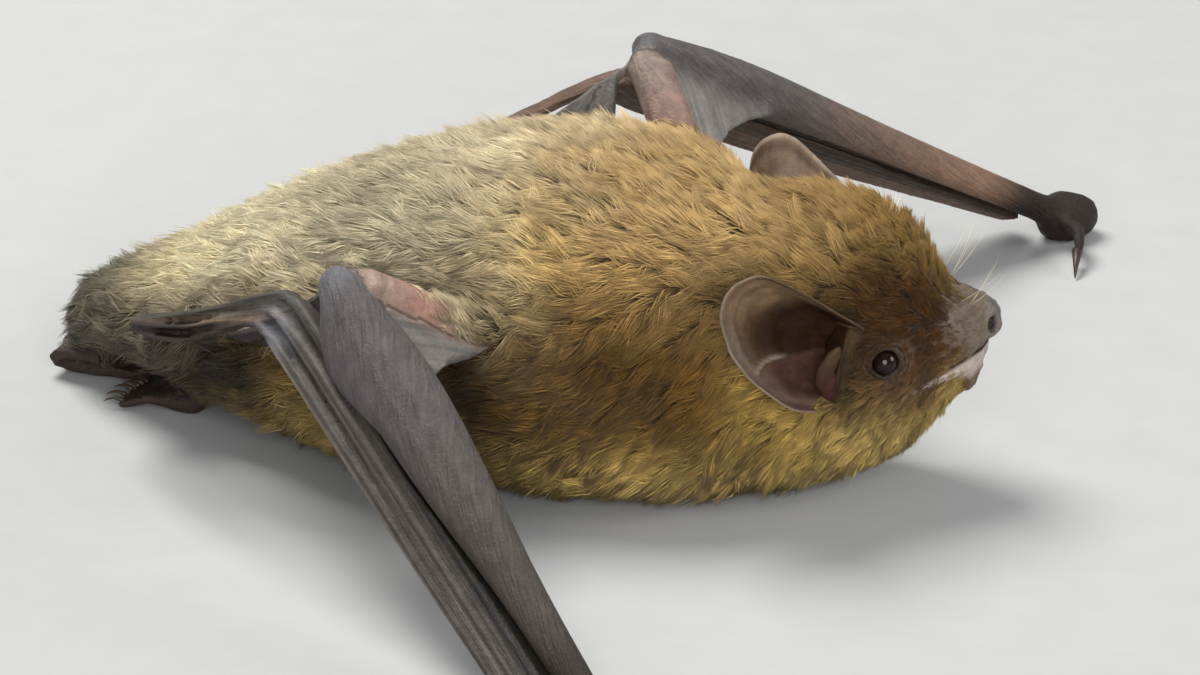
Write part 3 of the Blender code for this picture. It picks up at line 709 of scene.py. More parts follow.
def make_skin():
    """The skin's points, faces, edges, parts, coat, colours and lids, in that order."""
    flesh = [grown_nodes(SKIN_NODES, CLOSE_CUTS), *joint_balls()]
    points, faces = refine_face(*remeshed(*joined(flesh), VOXEL))
    edges = edges_of(faces)
    kinds = part_of_each(points)
    table = np.array([look[:3] for look in LOOKS.values()])
    colours = np.array([look[3] for look in LOOKS.values()])[kinds]
    depth, length, density = table[kinds].T
    h = to_head(points)
    on_head = on_parts(kinds, "head", "snout")
    for field, of_head in zip((depth, length, density), head_coat(h[on_head])):
        field[on_head] = of_head
    for word, side in SIDES:
        mine = on_parts(kinds, "arm") & ours(points, side)
        share = ramp(arm_places(points[mine], word) + 0.1 * waves(points[mine], 1.5, 51), 0.45, 0.8)
        depth[mine], length[mine], density[mine] = 0.35 * share, 0.9 + 0.8 * share, 0.8 * share
    fields = spread(np.stack((depth, length, density), 1), edges, 14)
    colours = spread(colours, edges, 8)

    # The solids' steps and edges are smoothed away, most under the coat and least on the bare parts.
    furry = ramp(fields[:, 0], 0.25, 0.8)
    points = mixed(points, furry, spread(points, edges, 10))
    points = mixed(points, 0.8, spread(points, edges, 2, 0.5))
    fine = ramp(to_head(points)[:, 0], 1.2, 2.2) * on_head
    points = mixed(points, fine, spread(points, edges, 8, 0.5))
    seam = hump(to_head(points)[:, 0] - 5.6, 1.1) * on_head
    points = mixed(points, seam, spread(points, edges, 40, 0.5))
    normals = spread(normals_of(points, faces), edges, 4)
    points -= (fields[:, 0] + CLOSE_CUTS)[:, None] * unit(normals)

    # The face: lips, nostrils and folds, then room for the ears, then the lids.
    h = to_head(points)
    on_face = ramp(h[:, 0], 1.0, 2.4) * on_head
    points += (face_relief(h) * on_face)[:, None] * normals_of(points, faces)
    h = to_head(points)
    under_lips = ramp(lip_height(h[:, 0]) - h[:, 2], -0.05, 0.35) * ramp(h[:, 0], 7.0, 9.2) * on_head
    h[:, 0] -= 0.55 * under_lips
    h[:, 2] -= 0.10 * under_lips
    for side in (1, -1):
        inwards = spread(behind_ear(h, side), edges, 2)
        h[:, 1] -= side * inwards
        fields[:, 2] *= 1 - ramp(inwards, 0.05, 0.3)
    lids = np.zeros(len(points))
    for side in (1, -1):
        h, weight, around = eye_shape(h, side)
        lids = np.maximum(lids, (weight > 0) * (1 - ramp(around, 1.1, 1.7)))
    points = from_head(h)

    # The skin by each elbow spreads towards the folded fingers.
    for word, side in SIDES:
        mine = on_parts(kinds, "forearm") & ours(points, side)
        elbow, wrist = limb_axis(f"forearm_{word}")
        rel = points[mine] - elbow
        arm, fold_way = arm_and_fold(elbow, wrist, side)
        share = rel @ arm / np.linalg.norm(wrist - elbow)
        broad = ramp(share, 0.0, 0.10) * (1 - ramp(share, 0.12, 0.36)) * ramp(rel @ fold_way, 0.0, 1.6)
        points[mine] += (ARM_BREADTH * broad)[:, None] * fold_way
    points[:, 2] = np.maximum(points[:, 2], 0.0)
    return points, faces, edges, kinds, fields, colours, lids


skin_points, skin_faces, skin_edges, skin_kinds, skin_fields, skin_colours, skin_lids = make_skin()
skin_normals = unit(spread(normals_of(skin_points, skin_faces), skin_edges, 3))

# ---- markings, with painted light and shade, shared by the skin and the coat -------------------

# Colour of the coat at places of the head's left half, in its own frame, and how far each reaches.
HEAD_MARKS = [
    ((-3.0, 0.0, 6.0), 4.0, GOLD),
    ((0.5, 0.0, 7.0), 2.6, GOLD * (0.58, 0.53, 0.43)),
    ((3.5, 0.0, 6.0), 2.2, OLIVE * 0.75),
    ((5.5, 0.0, 4.5), 1.8, OLIVE * 0.55),
    ((4.4, 3.2, 2.4), 1.5, DARK_BROWN),
    ((5.4, 2.9, 1.6), 1.2, DARK_BROWN * 1.2),
    ((4.4, 3.9, 0.3), 1.4, DARK_BROWN * 1.3),
    ((2.3, 4.3, 0.1), 1.3, DARK_BROWN * 1.3),
    ((2.6, 4.0, 1.9), 1.2, DARK_BROWN * 1.1),
    ((0.4, 4.8, 2.4), 2.0, OLIVE),
    ((2.6, 4.1, -1.7), 1.3, FACE * 1.5),
    ((4.9, 3.3, -1.8), 1.2, FACE * 1.5),
    ((3.6, 3.6, -4.2), 2.0, YELLOWISH * 1.25),
    ((6.6, 0.0, -3.6), 1.8, YELLOWISH * 0.8),
    ((-1.0, 5.0, -3.5), 2.6, YELLOWISH * (1.0, 0.95, 0.75)),
    ((0.0, 0.0, -7.0), 4.0, YELLOWISH),
]
HEAD_MARKS += [((x, -y, z), reach, colour) for (x, y, z), reach, colour in HEAD_MARKS if y > 0]

# Darker and paler places of the body's coat on either side, some of them painted shade and painted light:
# place, reach, and share of the colour.
BODY_MARKS_AND_PAINTED_LIGHT = [
    ((-3.5, 9.0, 9.0), 3.5, 0.6),
    # Painted shade of the folded wing, low on the hip.
    ((-16.0, 8.5, 5.3), 3.7, 0.3),
    ((-1.8, 9.5, 5.8), 1.5, 0.4),
    ((5.5, 9.0, 7.0), 2.2, 0.85),
    ((5.5, 8.5, 10.0), 2.8, (0.84, 0.7, 0.42)),
    ((6.0, 8.0, 9.3), 1.2, 0.5),
    ((1.0, 7.5, 12.5), 2.5, (1.3, 1.28, 1.05)),
    ((8.0, 8.5, 5.6), 2.2, 1.5),
    ((3.8, 7.5, 1.5), 2.8, 1.65),
    ((4.0, 1.0, 13.4), 3.2, 0.78),
    ((-10.5, 1.0, 12.5), 4.0, 0.87),
    # These two make the rump paler: partly its paler fur, partly painted backlight.
    ((-21.0, 4.0, 7.5), 4.0, (1.25, 1.2, 1.05)),
    ((-16.5, 4.0, 10.5), 4.5, 1.35),
    ((-6.0, 3.0, 13.0), 4.5, 0.86),
]


def coat_colour(points, normals):
    """The coat's colour at places on the skin, with painted light from above and behind and painted shade in
    it.
    """
    rel = points - body_origin
    # Upward-facing coat turns gold and straw: partly the back's paler fur, partly painted light from above.
    high = ramp(normals[:, 2] + 0.12 * waves(points, 5.0, 5), -0.1, 0.72)
    behind = -rel[:, 0] + 1.5 * waves(points, 6.0, 6)
    # Paler towards the rump and straw at its end: partly the fur's own colour, partly painted backlight.
    back, pale, end = ramp(behind, -4.0, 13.0), ramp(behind, -6.0, 8.0), ramp(behind, 16.0, 20.0)
    flank = layered(BROWN, (back, OLIVE), (end, STRAW * 0.75))
    low = (1 - ramp(rel[:, 2], 1.5, 6.0)) * (1 - end)
    body = layered(flank, (high, mixed(GOLD, pale, STRAW)), (low, YELLOWISH))
    h = to_head(points)
    total, weights = np.zeros_like(body), np.full(len(points), 1e-6)
    for place, reach, colour in HEAD_MARKS:
        weight = near(h, place, reach)
        total += weight[:, None] * colour
        weights += weight
    colour = mixed(body, ramp(h[:, 0], -4.5, -0.5), total / weights[:, None])
    patch = 1 + 0.10 * waves(points, 4.0, 3) + 0.08 * waves(points, 1.6, 4)
    dark = ramp(waves(points * (0.6, 1.0, 1.0), 2.4, 7), 0.35, 1.1) * (1 - back) * ramp(1 - high, 0.0, 0.6)
    # Painted shade: the coat low down behind, under the folded wings, is darkened.
    under = ramp(behind, 10.5, 14.5) * (1 - ramp(rel[:, 2], 5.0, 7.5))
    colour = colour * ((patch - 0.40 * dark) * (1 - 0.75 * under))[:, None]
    rel[:, 1] = np.abs(rel[:, 1])
    for place, reach, left in BODY_MARKS_AND_PAINTED_LIGHT:
        colour = mixed(colour, near(rel, place, reach), colour * left)
    return colour


# ---- the coat ---------------------------------------------------------------------------------


def coat_flow(points, normals):
    """The lie of the hair: away from the nose on the head, towards the tail and down on the body."""
    h = to_head(points)
    from_nose = unit(h - (10.5, 0.0, 0.5)) @ HEAD_AXES
    rel = points - body_origin
    down = -0.35 * (1 - ramp(normals[:, 2], 0.2, 0.9))
    backward = np.stack((np.full(len(points), -1.0), 0.05 * np.sign(rel[:, 1]), down), 1)
    way = unit(mixed(backward, ramp(h[:, 0], -5.0, 2.0), from_nose))
    swirl = 0.35 * waves(points, 5.0, 11) + 0.25 * waves(points, 2.0, 12)
    way = way + swirl[:, None] * np.cross(normals, way)
    way -= np.sum(way * normals, 1)[:, None] * normals
    return unit(way)


def sow(points, faces, density, count):
    """count random places on the faces, more where the density is higher."""
    p = points[faces]
    area = np.linalg.norm(np.cross(p[:, 1] - p[:, 0], p[:, 2] - p[:, 0]), axis=1) / 2
    chance = area * density[faces].mean(axis=1)
    chosen = rng.choice(len(faces), count, p=chance / chance.sum())
    a, b = rng.random((2, count))
    a, b = np.where(a + b > 1, 1 - a, a), np.where(a + b > 1, 1 - b, b)
    shares = np.stack((1 - a - b, a, b), 1)
    return chosen, shares


def at(values, chosen, shares):
    return np.einsum("nk,nk...->n...", shares, values[skin_faces[chosen]])


# For a hair of so many rings: the height over the skin at each, as a share of the depth, its width and shade.
LIFT = {2: (-0.05, 1.0), 3: (-0.05, 0.6, 1.1)}
TAPER = {2: (1.0,), 3: (0.9, 1.0), 5: (1.0, 0.85, 0.7, 0.5)}
SHADES = {2: (0.42, 1.08), 3: (0.4, 0.88, 1.18), 5: (1.0, 1.0, 1.0, 1.1, 1.2)}


def lay_hairs(roots, normals, length, depth, rings, wild, lowest):
    """The centre points of each hair, which follows the skin and rises to the coat's depth at its tip.

    Wild is how much the hairs turn off the lie of the coat, and lowest how deep in it the lowest tips are.
    """
    path = np.zeros((len(roots), rings, 3))
    place, normal = roots, normals
    way = coat_flow(place, normal)
    turn = rng.normal(0, wild, len(roots))
    h = to_head(roots)
    brow = ramp(h[:, 0], 0.5, 3.5) * (1 - ramp(h[:, 0], 6.0, 7.0)) * ramp(h[:, 2], 1.5, 3.5)
    under = ramp(-normals[:, 2], 0.1, 0.7)
    lift = depth * rng.uniform(lowest, 1.05, len(roots)) * (1 + 0.4 * brow + 0.15 * under) + 0.03
    stray = rng.random(len(roots)) < 0.05
    lift = np.where(stray, lift * 1.4 + 0.1, lift)
    path[:, 0] = place + LIFT[rings][0] * normal
    for ring in range(1, rings):
        side = np.cross(normal, way)
        way = unit(way + 0.6 * turn[:, None] * side)
        place = place + way * (length / (rings - 1))[:, None]
        place, normal, _ = nearest(skin_tree, place)
        flow = coat_flow(place, normal)
        way = unit(0.6 * way + 0.4 * flow)
        way = unit(way - np.sum(way * normal, 1)[:, None] * normal)
        path[:, ring] = place + (LIFT[rings][ring] * lift)[:, None] * normal
    return path


def coat_places(density, count):
    """count random roots on the skin, with the normal, coat depth and hair length at each."""
    chosen, shares = sow(skin_points, skin_faces, density, count)
    roots = at(skin_points, chosen, shares)
    normals = unit(at(skin_normals, chosen, shares))
    fields = at(skin_fields, chosen, shares)
    length = np.clip(fields[:, 1], 0.3, LONG_HAIR) * rng.uniform(0.6, 1.15, count)
    return roots, normals, fields[:, 0], length


def gather(path, leaders, tree, pull):
    """Draws the hairs' tips together into locks, and says which lock each is in."""
    lock = np.array([tree.find(p)[1] for p in path[:, 0].tolist()])
    rings = path.shape[1]
    leader = leaders[lock][:, [0, -1]] if rings == 2 else leaders[lock]
    gap = np.linalg.norm(leader[:, 0] - path[:, 0], axis=1)
    share = pull * (1 - ramp(gap, 0.5, 1.2)) * rng.uniform(0.35, 1.0, len(path))
    bend = np.linspace(0, 1, rings) ** 1.5
    return path + (share[:, None] * bend)[:, :, None] * (leader - path), lock


def hair_mesh(path, width):
    """Thin closed three-sided spikes round the centre lines, as the points of each and one's triangles."""
    count, rings = path.shape[:2]
    way = unit(np.gradient(path, axis=1))
    hint = unit(np.cross(way, rng.normal(size=(count, 1, 3))))
    other = np.cross(way, hint)
    points = np.zeros((count, 3 * (rings - 1) + 1, 3))
    for ring, taper in enumerate(TAPER[rings]):
        for k in range(3):
            turn = 2 * math.pi * k / 3
            offset = math.cos(turn) * hint[:, ring] + math.sin(turn) * other[:, ring]
            points[:, 3 * ring + k] = path[:, ring] + (width * taper)[:, None] * offset
    points[:, -1] = path[:, -1]
    points[..., 2] = np.maximum(points[..., 2], 0.02)
    last, tip = 3 * (rings - 2), 3 * (rings - 1)
    cone = [(last + k, last + (k + 1) % 3, tip) for k in range(3)]
    return points, np.array([(0, 2, 1), *tube_faces(rings - 1, 3), *cone])


PATCH = 0.003  # of a hair on the bake's map
MOST_TRIANGLES = 195000  # in one piece of the coat


def add_coat(name, worn, path, width, colours):
    """Adds the hairs in pieces, in bands along the body, each with its own map round the body."""
    order = np.argsort(path[:, 0, 0], kind="stable")
    axis = body_origin + np.array((0, 0, 7.5))
    rings = path.shape[1]
    chunk = MOST_TRIANGLES // (6 * rings - 8)
    pieces = math.ceil(len(order) / chunk)
    for number, mine in enumerate(np.array_split(order, pieces)):
        points, one = hair_mesh(path[mine], width[mine])
        faces = (np.arange(len(mine)) * points.shape[1])[:, None, None] + one
        ring = np.concatenate([np.repeat(np.arange(rings - 1), 3), [rings - 1]])
        tint = colours[mine][:, None, :] * np.array(SHADES[rings])[ring][None, :, None]
        root = path[mine, 0]
        around = np.arctan2(root[:, 1] - axis[1], root[:, 2] - axis[2]) / (2 * math.pi) + 0.5
        low, high = root[:, 0].min(), root[:, 0].max()
        along = (root[:, 0] - low) / (high - low)
        corner = np.concatenate([np.tile(np.arange(3), rings - 1), [1]])
        u = 0.01 + 0.97 * around[:, None] + PATCH * corner / 2
        v = 0.01 + 0.97 * along[:, None] + PATCH * ring / (rings - 1)
        add_mesh(
            f"{name}_{number + 1}",
            points.reshape(-1, 3),
            faces.reshape(-1, 3),
            worn,
            np.clip(tint, 0, 1).reshape(-1, 3),
            slot="coat",
            map_=np.stack((u, v), -1).reshape(-1, 2),
        )


def make_coat(worn, obstacles):
    density = skin_fields[:, 2]
    hidden = (skin_normals[:, 2] < -0.8) & (skin_points[:, 2] < 1.2)
    density = density * np.where(hidden, 0.25, 1.0)
    h = to_head(skin_points)
    density = density * (1 + 0.5 * ramp(h[:, 0], -6, 0))
    density[skin_lids > 0.6] = 0
    roots, normals, depth, length = coat_places(density, LOCKS)
    leaders = lay_hairs(roots, normals, length * 1.1, depth, rings=3, wild=0.5, lowest=0.75)
    lead_tree = KDTree(LOCKS)
    for k, root in enumerate(roots.tolist()):
        lead_tree.insert(root, k)
    lead_tree.balance()
    lock_shade = rng.normal(1, 0.11, LOCKS)
    for name, count, rings in (("coat", CURVED_HAIRS, 3), ("under_coat", STRAIGHT_HAIRS, 2)):
        roots, normals, depth, length = coat_places(density, count)
        path = lay_hairs(roots, normals, length, depth, rings, wild=0.25, lowest=0.4)
        path, lock = gather(path, leaders, lead_tree, pull=0.9)
        shade = np.clip(rng.normal(1, 0.10, count), 0.6, 1.4) * lock_shade[lock]
        colours = coat_colour(roots, normals) * shade[:, None]
        width = HAIR_WIDTH * (0.4 + 0.6 * ramp(length, 0.4, 1.7)) * rng.uniform(0.65, 1.25, count)
        places = to_head(path[:, 1:].reshape(-1, 3))
        in_ear = ear_mouth(places).reshape(count, -1).max(axis=1) > 0.4
        keep = ~crosses(path, obstacles) & ~in_ear
        add_coat(name, worn, path[keep], width[keep], colours[keep])


def crosses(path, trees):
    """Which hairs run through one of the shapes that the coat goes round."""
    found = np.zeros(len(path), bool)
    for tree, low, high in trees:
        inside = ((path > low) & (path < high)).all(axis=2).any(axis=1)
        for k in np.flatnonzero(inside):
            for ring in range(path.shape[1] - 1):
                start = Vector(path[k, ring])
                way = Vector(path[k, ring + 1]) - start
                if tree.ray_cast(start, way, way.length)[0] is not None:
                    found[k] = True
                    break
    return found


# ---- materials --------------------------------------------------------------------------------


def new_material(name, roughness, specular=0.5):
    made = bpy.data.materials.new(name)
    made.use_nodes = True
    shader = made.node_tree.nodes["Principled BSDF"]
    shader.inputs["Roughness"].default_value = roughness
    shader.inputs["Specular IOR Level"].default_value = specular
    return made, made.node_tree, shader


def link(tree, out, into):
    tree.links.new(out, into)


def add_node(tree, kind, **values):
    """A shader node with values on the sockets named, where an underscore stands for a space."""
    node = tree.nodes.new("ShaderNode" + kind)
    for name, value in values.items():
        node.inputs[name.replace("_", " ")].default_value = value
    return node


def attribute(tree, name, output):
    node = add_node(tree, "Attribute")
    node.attribute_name = name
    return node.outputs[output]


def noise_of(tree, size, detail=4.0, roughness=0.55):
    """A noise texture whose largest grains are size millimetres across."""
    noise = add_node(tree, "TexNoise", Scale=1 / (size * MM), Detail=detail, Roughness=roughness)
    link(tree, add_node(tree, "TexCoord").outputs["Object"], noise.inputs["Vector"])
    return noise.outputs["Fac"]


def mapped(tree, value, low, high):
    """A noise's usual values, which are 0.3 to 0.7, as values from low to high."""
    node = add_node(tree, "MapRange", From_Min=0.3, From_Max=0.7, To_Min=low, To_Max=high)
    link(tree, value, node.inputs["Value"])
    return node.outputs["Result"]


def calculated(tree, kind, *values):
    """The outcome of a sum on numbers and other nodes' outcomes."""
    node = add_node(tree, "Math")
    node.operation = kind
    for socket, value in zip(node.inputs, values):
        if isinstance(value, (int, float)):
            socket.default_value = value
        else:
            link(tree, value, socket)
    return node.outputs[0]


def tinted(tree, shader, low, high, size, shade=1.0):
    """Colours the surface from its own tint, made darker and lighter by a fine grain and by a shade."""
    grain = calculated(tree, "MULTIPLY", mapped(tree, noise_of(tree, size), low, high), shade)
    mix = add_node(tree, "VectorMath")
    mix.operation = "SCALE"
    link(tree, attribute(tree, "tint", "Color"), mix.inputs[0])
    link(tree, grain, mix.inputs["Scale"])
    link(tree, mix.outputs[0], shader.inputs["Base Color"])


def bumped(tree, shader, height, depth, strength=1.0):
    """Raises the surface's look by a height from 0 to 1, up to depth millimetres."""
    bump = add_node(tree, "Bump", Strength=strength, Distance=depth * MM)
    link(tree, height, bump.inputs["Height"])
    link(tree, bump.outputs["Normal"], shader.inputs["Normal"])


def hair_material():
    made, tree, shader = new_material("coat_hair", roughness=0.62, specular=0.12)
    tinted(tree, shader, 0.86, 1.14, 0.6)
    bumped(tree, shader, noise_of(tree, 0.05, 2.0), 0.01, 0.3)
    shader.inputs["Sheen Weight"].default_value = 0.06
    shader.inputs["Sheen Roughness"].default_value = 0.5
    return made


def grain_along(tree, sizes):
    """A noise texture that follows the skin's own fold attribute, with its grains' sizes both ways."""
    scaled = add_node(tree, "VectorMath")
    scaled.operation = "DIVIDE"
    scaled.inputs[1].default_value = (*sizes, 1)
    link(tree, attribute(tree, "fold", "Vector"), scaled.inputs[0])
    noise = add_node(tree, "TexNoise", Scale=1.0, Detail=3.0, Distortion=0.6)
    link(tree, scaled.outputs[0], noise.inputs["Vector"])
    return noise.outputs["Fac"]


def skin_material(name, roughness, specular, pores, depth, dark, lengthwise=(1.8, 0.26)):
    """Skin with pores and, along its fold attribute, long creases and fine cross wrinkles.

    Pores and depth are in millimetres, and dark is how much the creases darken it.
    """
    made, tree, shader = new_material(name, roughness, specular)
    creases = grain_along(tree, lengthwise)
    wrinkles = grain_along(tree, (0.35, 1.3))
    skin_pores = noise_of(tree, pores, 5.0, 0.65)
    height = calculated(tree, "ADD", skin_pores, creases)
    height = calculated(tree, "ADD", height, calculated(tree, "MULTIPLY", wrinkles, 0.35))
    bumped(tree, shader, height, depth)
    in_creases = mapped(tree, creases, 1 - dark, 1 + dark)
    in_wrinkles = mapped(tree, wrinkles, 1 - 0.3 * dark, 1 + 0.3 * dark)
    shade = calculated(tree, "MULTIPLY", in_creases, in_wrinkles)
    shade = calculated(tree, "MULTIPLY", shade, mapped(tree, skin_pores, 0.86, 1.12))
    tinted(tree, shader, 0.82, 1.16, 0.9, shade)
    rough = mapped(tree, noise_of(tree, 0.5), roughness - 0.08, roughness + 0.12)
    link(tree, rough, shader.inputs["Roughness"])
    return made


def plain_material(name, colour, roughness, specular):
    made, _, shader = new_material(name, roughness, specular)
    shader.inputs["Base Color"].default_value = (*colour, 1)
    return made


# ---- ears -------------------------------------------------------------------------------------


def ear_colours(along, out, x, z, inner, side):
    """The colours of an ear's points: a hollow painted dark as shade, a brown blade, a pale margin, and a
    reddish lobe.
    """
    # The hollow and the root of the ear's inner face are painted dark, as shade.
    hollow = 1 - ramp(np.hypot((x - 0.1) / 1.6, z - 1.6), 1.0, 2.5)
    hollow = np.maximum(hollow, 1 - ramp(out, 0.3, 0.55))
    haze = ramp(out, 0.55, 0.9) * hump(along - 0.70, 0.13) * 0.8
    haze = haze + 0.2 * ramp(out, 0.95, 1.0) * ramp(along, 0.3, 0.5) * (1 - ramp(along, 0.9, 1.0))
    lobe = (1 - ramp(z, -0.15, 0.3)) * ramp(along, 0.4, 0.6)
    fold = ear_fold(along, out, x, z, 0.09) * (1 - ramp(out, 0.75, 0.88))
    inside = layered(
        EAR_BROWN,
        (0.9 * ramp(z, 2.2, 4.0), EAR_BACK * (1.28, 1.2, 1.0)),
        (hollow, EAR_HOLLOW_SHADE),
        (0.85 * lobe, EAR_LOBE),
        (0.85 * lobe * (1 - ramp(out, 0.35, 0.75)), EAR_ROOT_RED),
        (np.clip(haze, 0, 1), EAR_RIM),
        (0.95 * fold, EAR_RIM * 1.6),
    )
    outside = layered(
        EAR_BACK,
        (0.5 * (1 - ramp(out, 0.45, 0.8)), EAR_BROWN * (0.75, 0.7, 0.65)),
        (0.7 * hump(along - 0.5, 0.12), EAR_BROWN * 0.6),
        # A painted shade line in the crease under the rolled margin.
        (0.6 * hump(out - 0.93, 0.035), EAR_HOLLOW_SHADE),
        (0.8 * ramp(out, 0.965, 0.985), EAR_RIM * 1.6),
    )
    front = 0.9 * ramp(out, 0.9, 0.97) * (1 - ramp(along, 0.25, 0.5)) * (side < 0)
    return mixed(np.where(inner[:, None], inside, outside), front, EAR_BROWN * 0.5)


TRAGUS_RINGS, TRAGUS_SIDES = 26, 20


def tragus_shape(side):
    """The flat, blunt leaf that stands in front of an ear's opening."""
    line = curve_through(TRAGUS, TRAGUS_RINGS)
    radii = np.interp(np.linspace(0, 4, TRAGUS_RINGS), range(5), TRAGUS_RADII)
    radii = radii * np.sqrt(np.clip((TRAGUS_RINGS - 0.4 - np.arange(TRAGUS_RINGS)) / 4, 0, 1))
    points, faces = spike(line, radii, TRAGUS_SIDES)
    centres = np.concatenate([np.repeat(line, TRAGUS_SIDES, axis=0), line[:1], line[-1:]])
    flat = unit(np.array((0.75, 0.6, -0.2)))
    points = points - 0.5 * ((points - centres) @ flat)[:, None] * flat
    points = points + (0.03 * waves(points, 0.6, 81))[:, None] * flat
    points = points + np.array(EAR_SHIFT[side]) * 0.5
    return from_head(points * (1, side, 1)), faces if side > 0 else faces[:, ::-1]


def make_ears(worn):
    """Both ears with their tragus. Returns what the coat's hairs go round, each with its box."""
    obstacles = []
    for word, side in SIDES:
        blade, faces, *fields = ear_shape(side)
        along, out = fields[:2]
        first_half = np.arange(len(blade)) < len(blade) // 2
        colours = ear_colours(*fields, first_half if side > 0 else ~first_half, side)
        folds = np.stack((6 * out, 8 * along, 0 * out), 1)
        add_mesh(f"ear_{word}_skin", blade, faces, worn, colours, folds, (f"ear_{word}",), "ear_skin")
        leaf, leaf_faces = tragus_shape(side)
        colours = mixed(EAR_ROOT_RED, ramp(to_head(leaf)[:, 2], -1.4, 0.6), EAR_BROWN * 0.48)
        shown = (leaf, leaf_faces, worn, colours, 2 * leaf)
        add_mesh(f"ear_{word}_tragus", *shown, (f"tragus_{word}",), "ear_skin")
        for shape in ((blade, faces), (leaf, leaf_faces)):
            low, high = shape[0].min(axis=0) - 0.3, shape[0].max(axis=0) + 0.3
            obstacles.append((tree_of(*shape), low, high))
    return obstacles


# ---- eyes, claws and whiskers ------------------------------------------------------------------


def spike(path, radii, count):
    """A closed tapering tube along a path of points, with count points round it."""
    path = np.array(path, float)
    way = unit(np.gradient(path, axis=0))
    first = unit(np.cross(way, np.eye(3)[np.argmin(np.abs(path[-1] - path[0]))]))
    other = np.cross(way, first)
    turn = 2 * math.pi * np.arange(count) / count
    rings = [
        p + r * (np.cos(turn)[:, None] * a + np.sin(turn)[:, None] * b)
        for p, r, a, b in zip(path, radii, first, other)
    ]
    points = np.concatenate([*rings, path[:1], path[-1:]])
    faces = tube_faces(len(path), count)
    last, start = (len(path) - 1) * count, len(points) - 2
    for k in range(count):
        faces.append((start, (k + 1) % count, k))
        faces.append((start + 1, last + k, last + (k + 1) % count))
    return points, np.array(faces)


def make_eyes(worn):
    for word, side in SIDES:
        points, faces = ball(eyes[side], eye_radius)
        add_mesh(f"eyeball_{word}", points, faces, worn, stands_for=(f"eye_{word}",), slot="eye")


def bowed(base, way, steps, arch, sag, lowest):
    """A path from a base along a way, arched upwards, that stays over the floor."""
    rise = 0.22 * np.sin(arch * steps) - sag * steps
    path = base + steps[:, None] * way + rise[:, None] * np.array((0, 0, 1))
    path[:, 2] = np.maximum(path[:, 2], lowest)
    return path


def make_claws(worn):
    """The thumbs' hooked claws, and five on each foot."""
    for word, _ in SIDES:
        thumb, hook = middle(f"thumb_{word}"), limb_axis(f"thumb_claw_{word}")
        base, tip = sorted(hook, key=lambda p: np.linalg.norm(p - thumb))
        base = base + 0.3 * (thumb - base)
        steps = np.linspace(0, 1, 14)
        path = bowed(base, tip - base, steps, math.pi, 0.0, 0.04)
        hook = spike(path, 0.025 + 0.27 * (1 - steps) ** 0.8, 14)
        add_mesh(f"thumb_hook_{word}", *hook, worn, stands_for=(f"thumb_claw_{word}",), slot="claw")
        points, _ = node_shape(f"foot_{word}")
        edges = np.linspace(points[:, 1].min(), points[:, 1].max(), TOES + 1)
        steps = np.linspace(0, 1, 7)
        claws = []
        for toe in range(TOES):
            row = points[(points[:, 1] >= edges[toe]) & (points[:, 1] <= edges[toe + 1])]
            tip = row[np.argmin(row[:, 0])]
            fan = (toe - 2) * 0.16
            way = np.array((-math.cos(fan), math.sin(fan), 0.0))
            base = tip - 0.35 * way + (0, 0, 0.18)
            path = bowed(base, way, steps, 2.6, 0.16, 0.05)
            claws.append(spike(path, 0.14 * (1 - 0.85 * steps), 8))
        add_mesh(f"toe_claws_{word}", *joined(claws), worn, slot="claw")


def make_whiskers(worn):
    """Whiskers on the snout, and a few pale guard hairs that stand out of the brow."""
    count = WHISKERS
    brow = np.arange(count) < BROW_HAIRS
    upper = np.arange(count) >= count - LONG_WHISKERS
    side = np.where(np.arange(count) % 2, 1, -1)

    def outward(mine, ahead, aside):
        """How far forward and sideways some of the hairs point, at random within two ranges."""
        number = np.count_nonzero(mine)
        return rng.uniform(*ahead, number), side[mine] * rng.uniform(*aside, number)

    x, z = rng.uniform(6.0, 8.3, count), rng.uniform(-0.9, 2.2, count)
    x = np.where(brow, rng.uniform(4.2, 6.8, count), x)
    way = np.stack((*outward(side != 0, (0.1, 0.5), (0.3, 0.9)), rng.uniform(-0.35, 0.8, count)), 1)
    way[brow] = np.stack((*outward(brow, (0.1, 0.8), (-0.2, 0.5)), np.full(BROW_HAIRS, 1.0)), 1)
    length = np.where(brow, rng.uniform(1.2, 1.8, count), rng.uniform(1.0, 2.4, count))
    way[upper] = np.stack((*outward(upper, (0.4, 1.0), (0.1, 0.5)), np.full(LONG_WHISKERS, 0.8)), 1)
    length = np.where(upper, rng.uniform(2.2, 3.4, count), length)
    # Each root is the skin's nearest place to one beside the snout, or over the brow.
    z = np.select([brow, upper], [9.0, 1.9], z)
    out = side * np.select([brow, upper], [0.6, 1.2], 4.0)
    start = nearest(skin_tree, from_head(np.stack((x, out, z), 1)))[0]
    steps = np.linspace(0, 1, 5)[None, :, None]
    bend = np.stack((-0.12 * length, 0 * length, 0.05 * length), 1)
    path = start[:, None] + (steps * length[:, None, None]) * (unit(way) @ HEAD_AXES)[:, None]
    path = path + steps**2 * (bend @ HEAD_AXES)[:, None]
    colours = np.where((brow | upper)[:, None], STRAW * 1.1, WHISKER_BROWN)
    add_coat("whiskers", worn, path, np.full(count, WHISKER_WIDTH), colours)


# ---- wings ------------------------------------------------------------------------------------


KNUCKLES = {1: 1.7, -1: -0.4}  # how far along the forearm the fingers' first joints lie
# How far the first and the last of the folded fingers lie from the forearm, by its elbow and by its wrist.
BUNDLE = {1: ((2.25, 4.4), (1.25, 2.7)), -1: ((2.45, 4.75), (1.35, 2.95))}


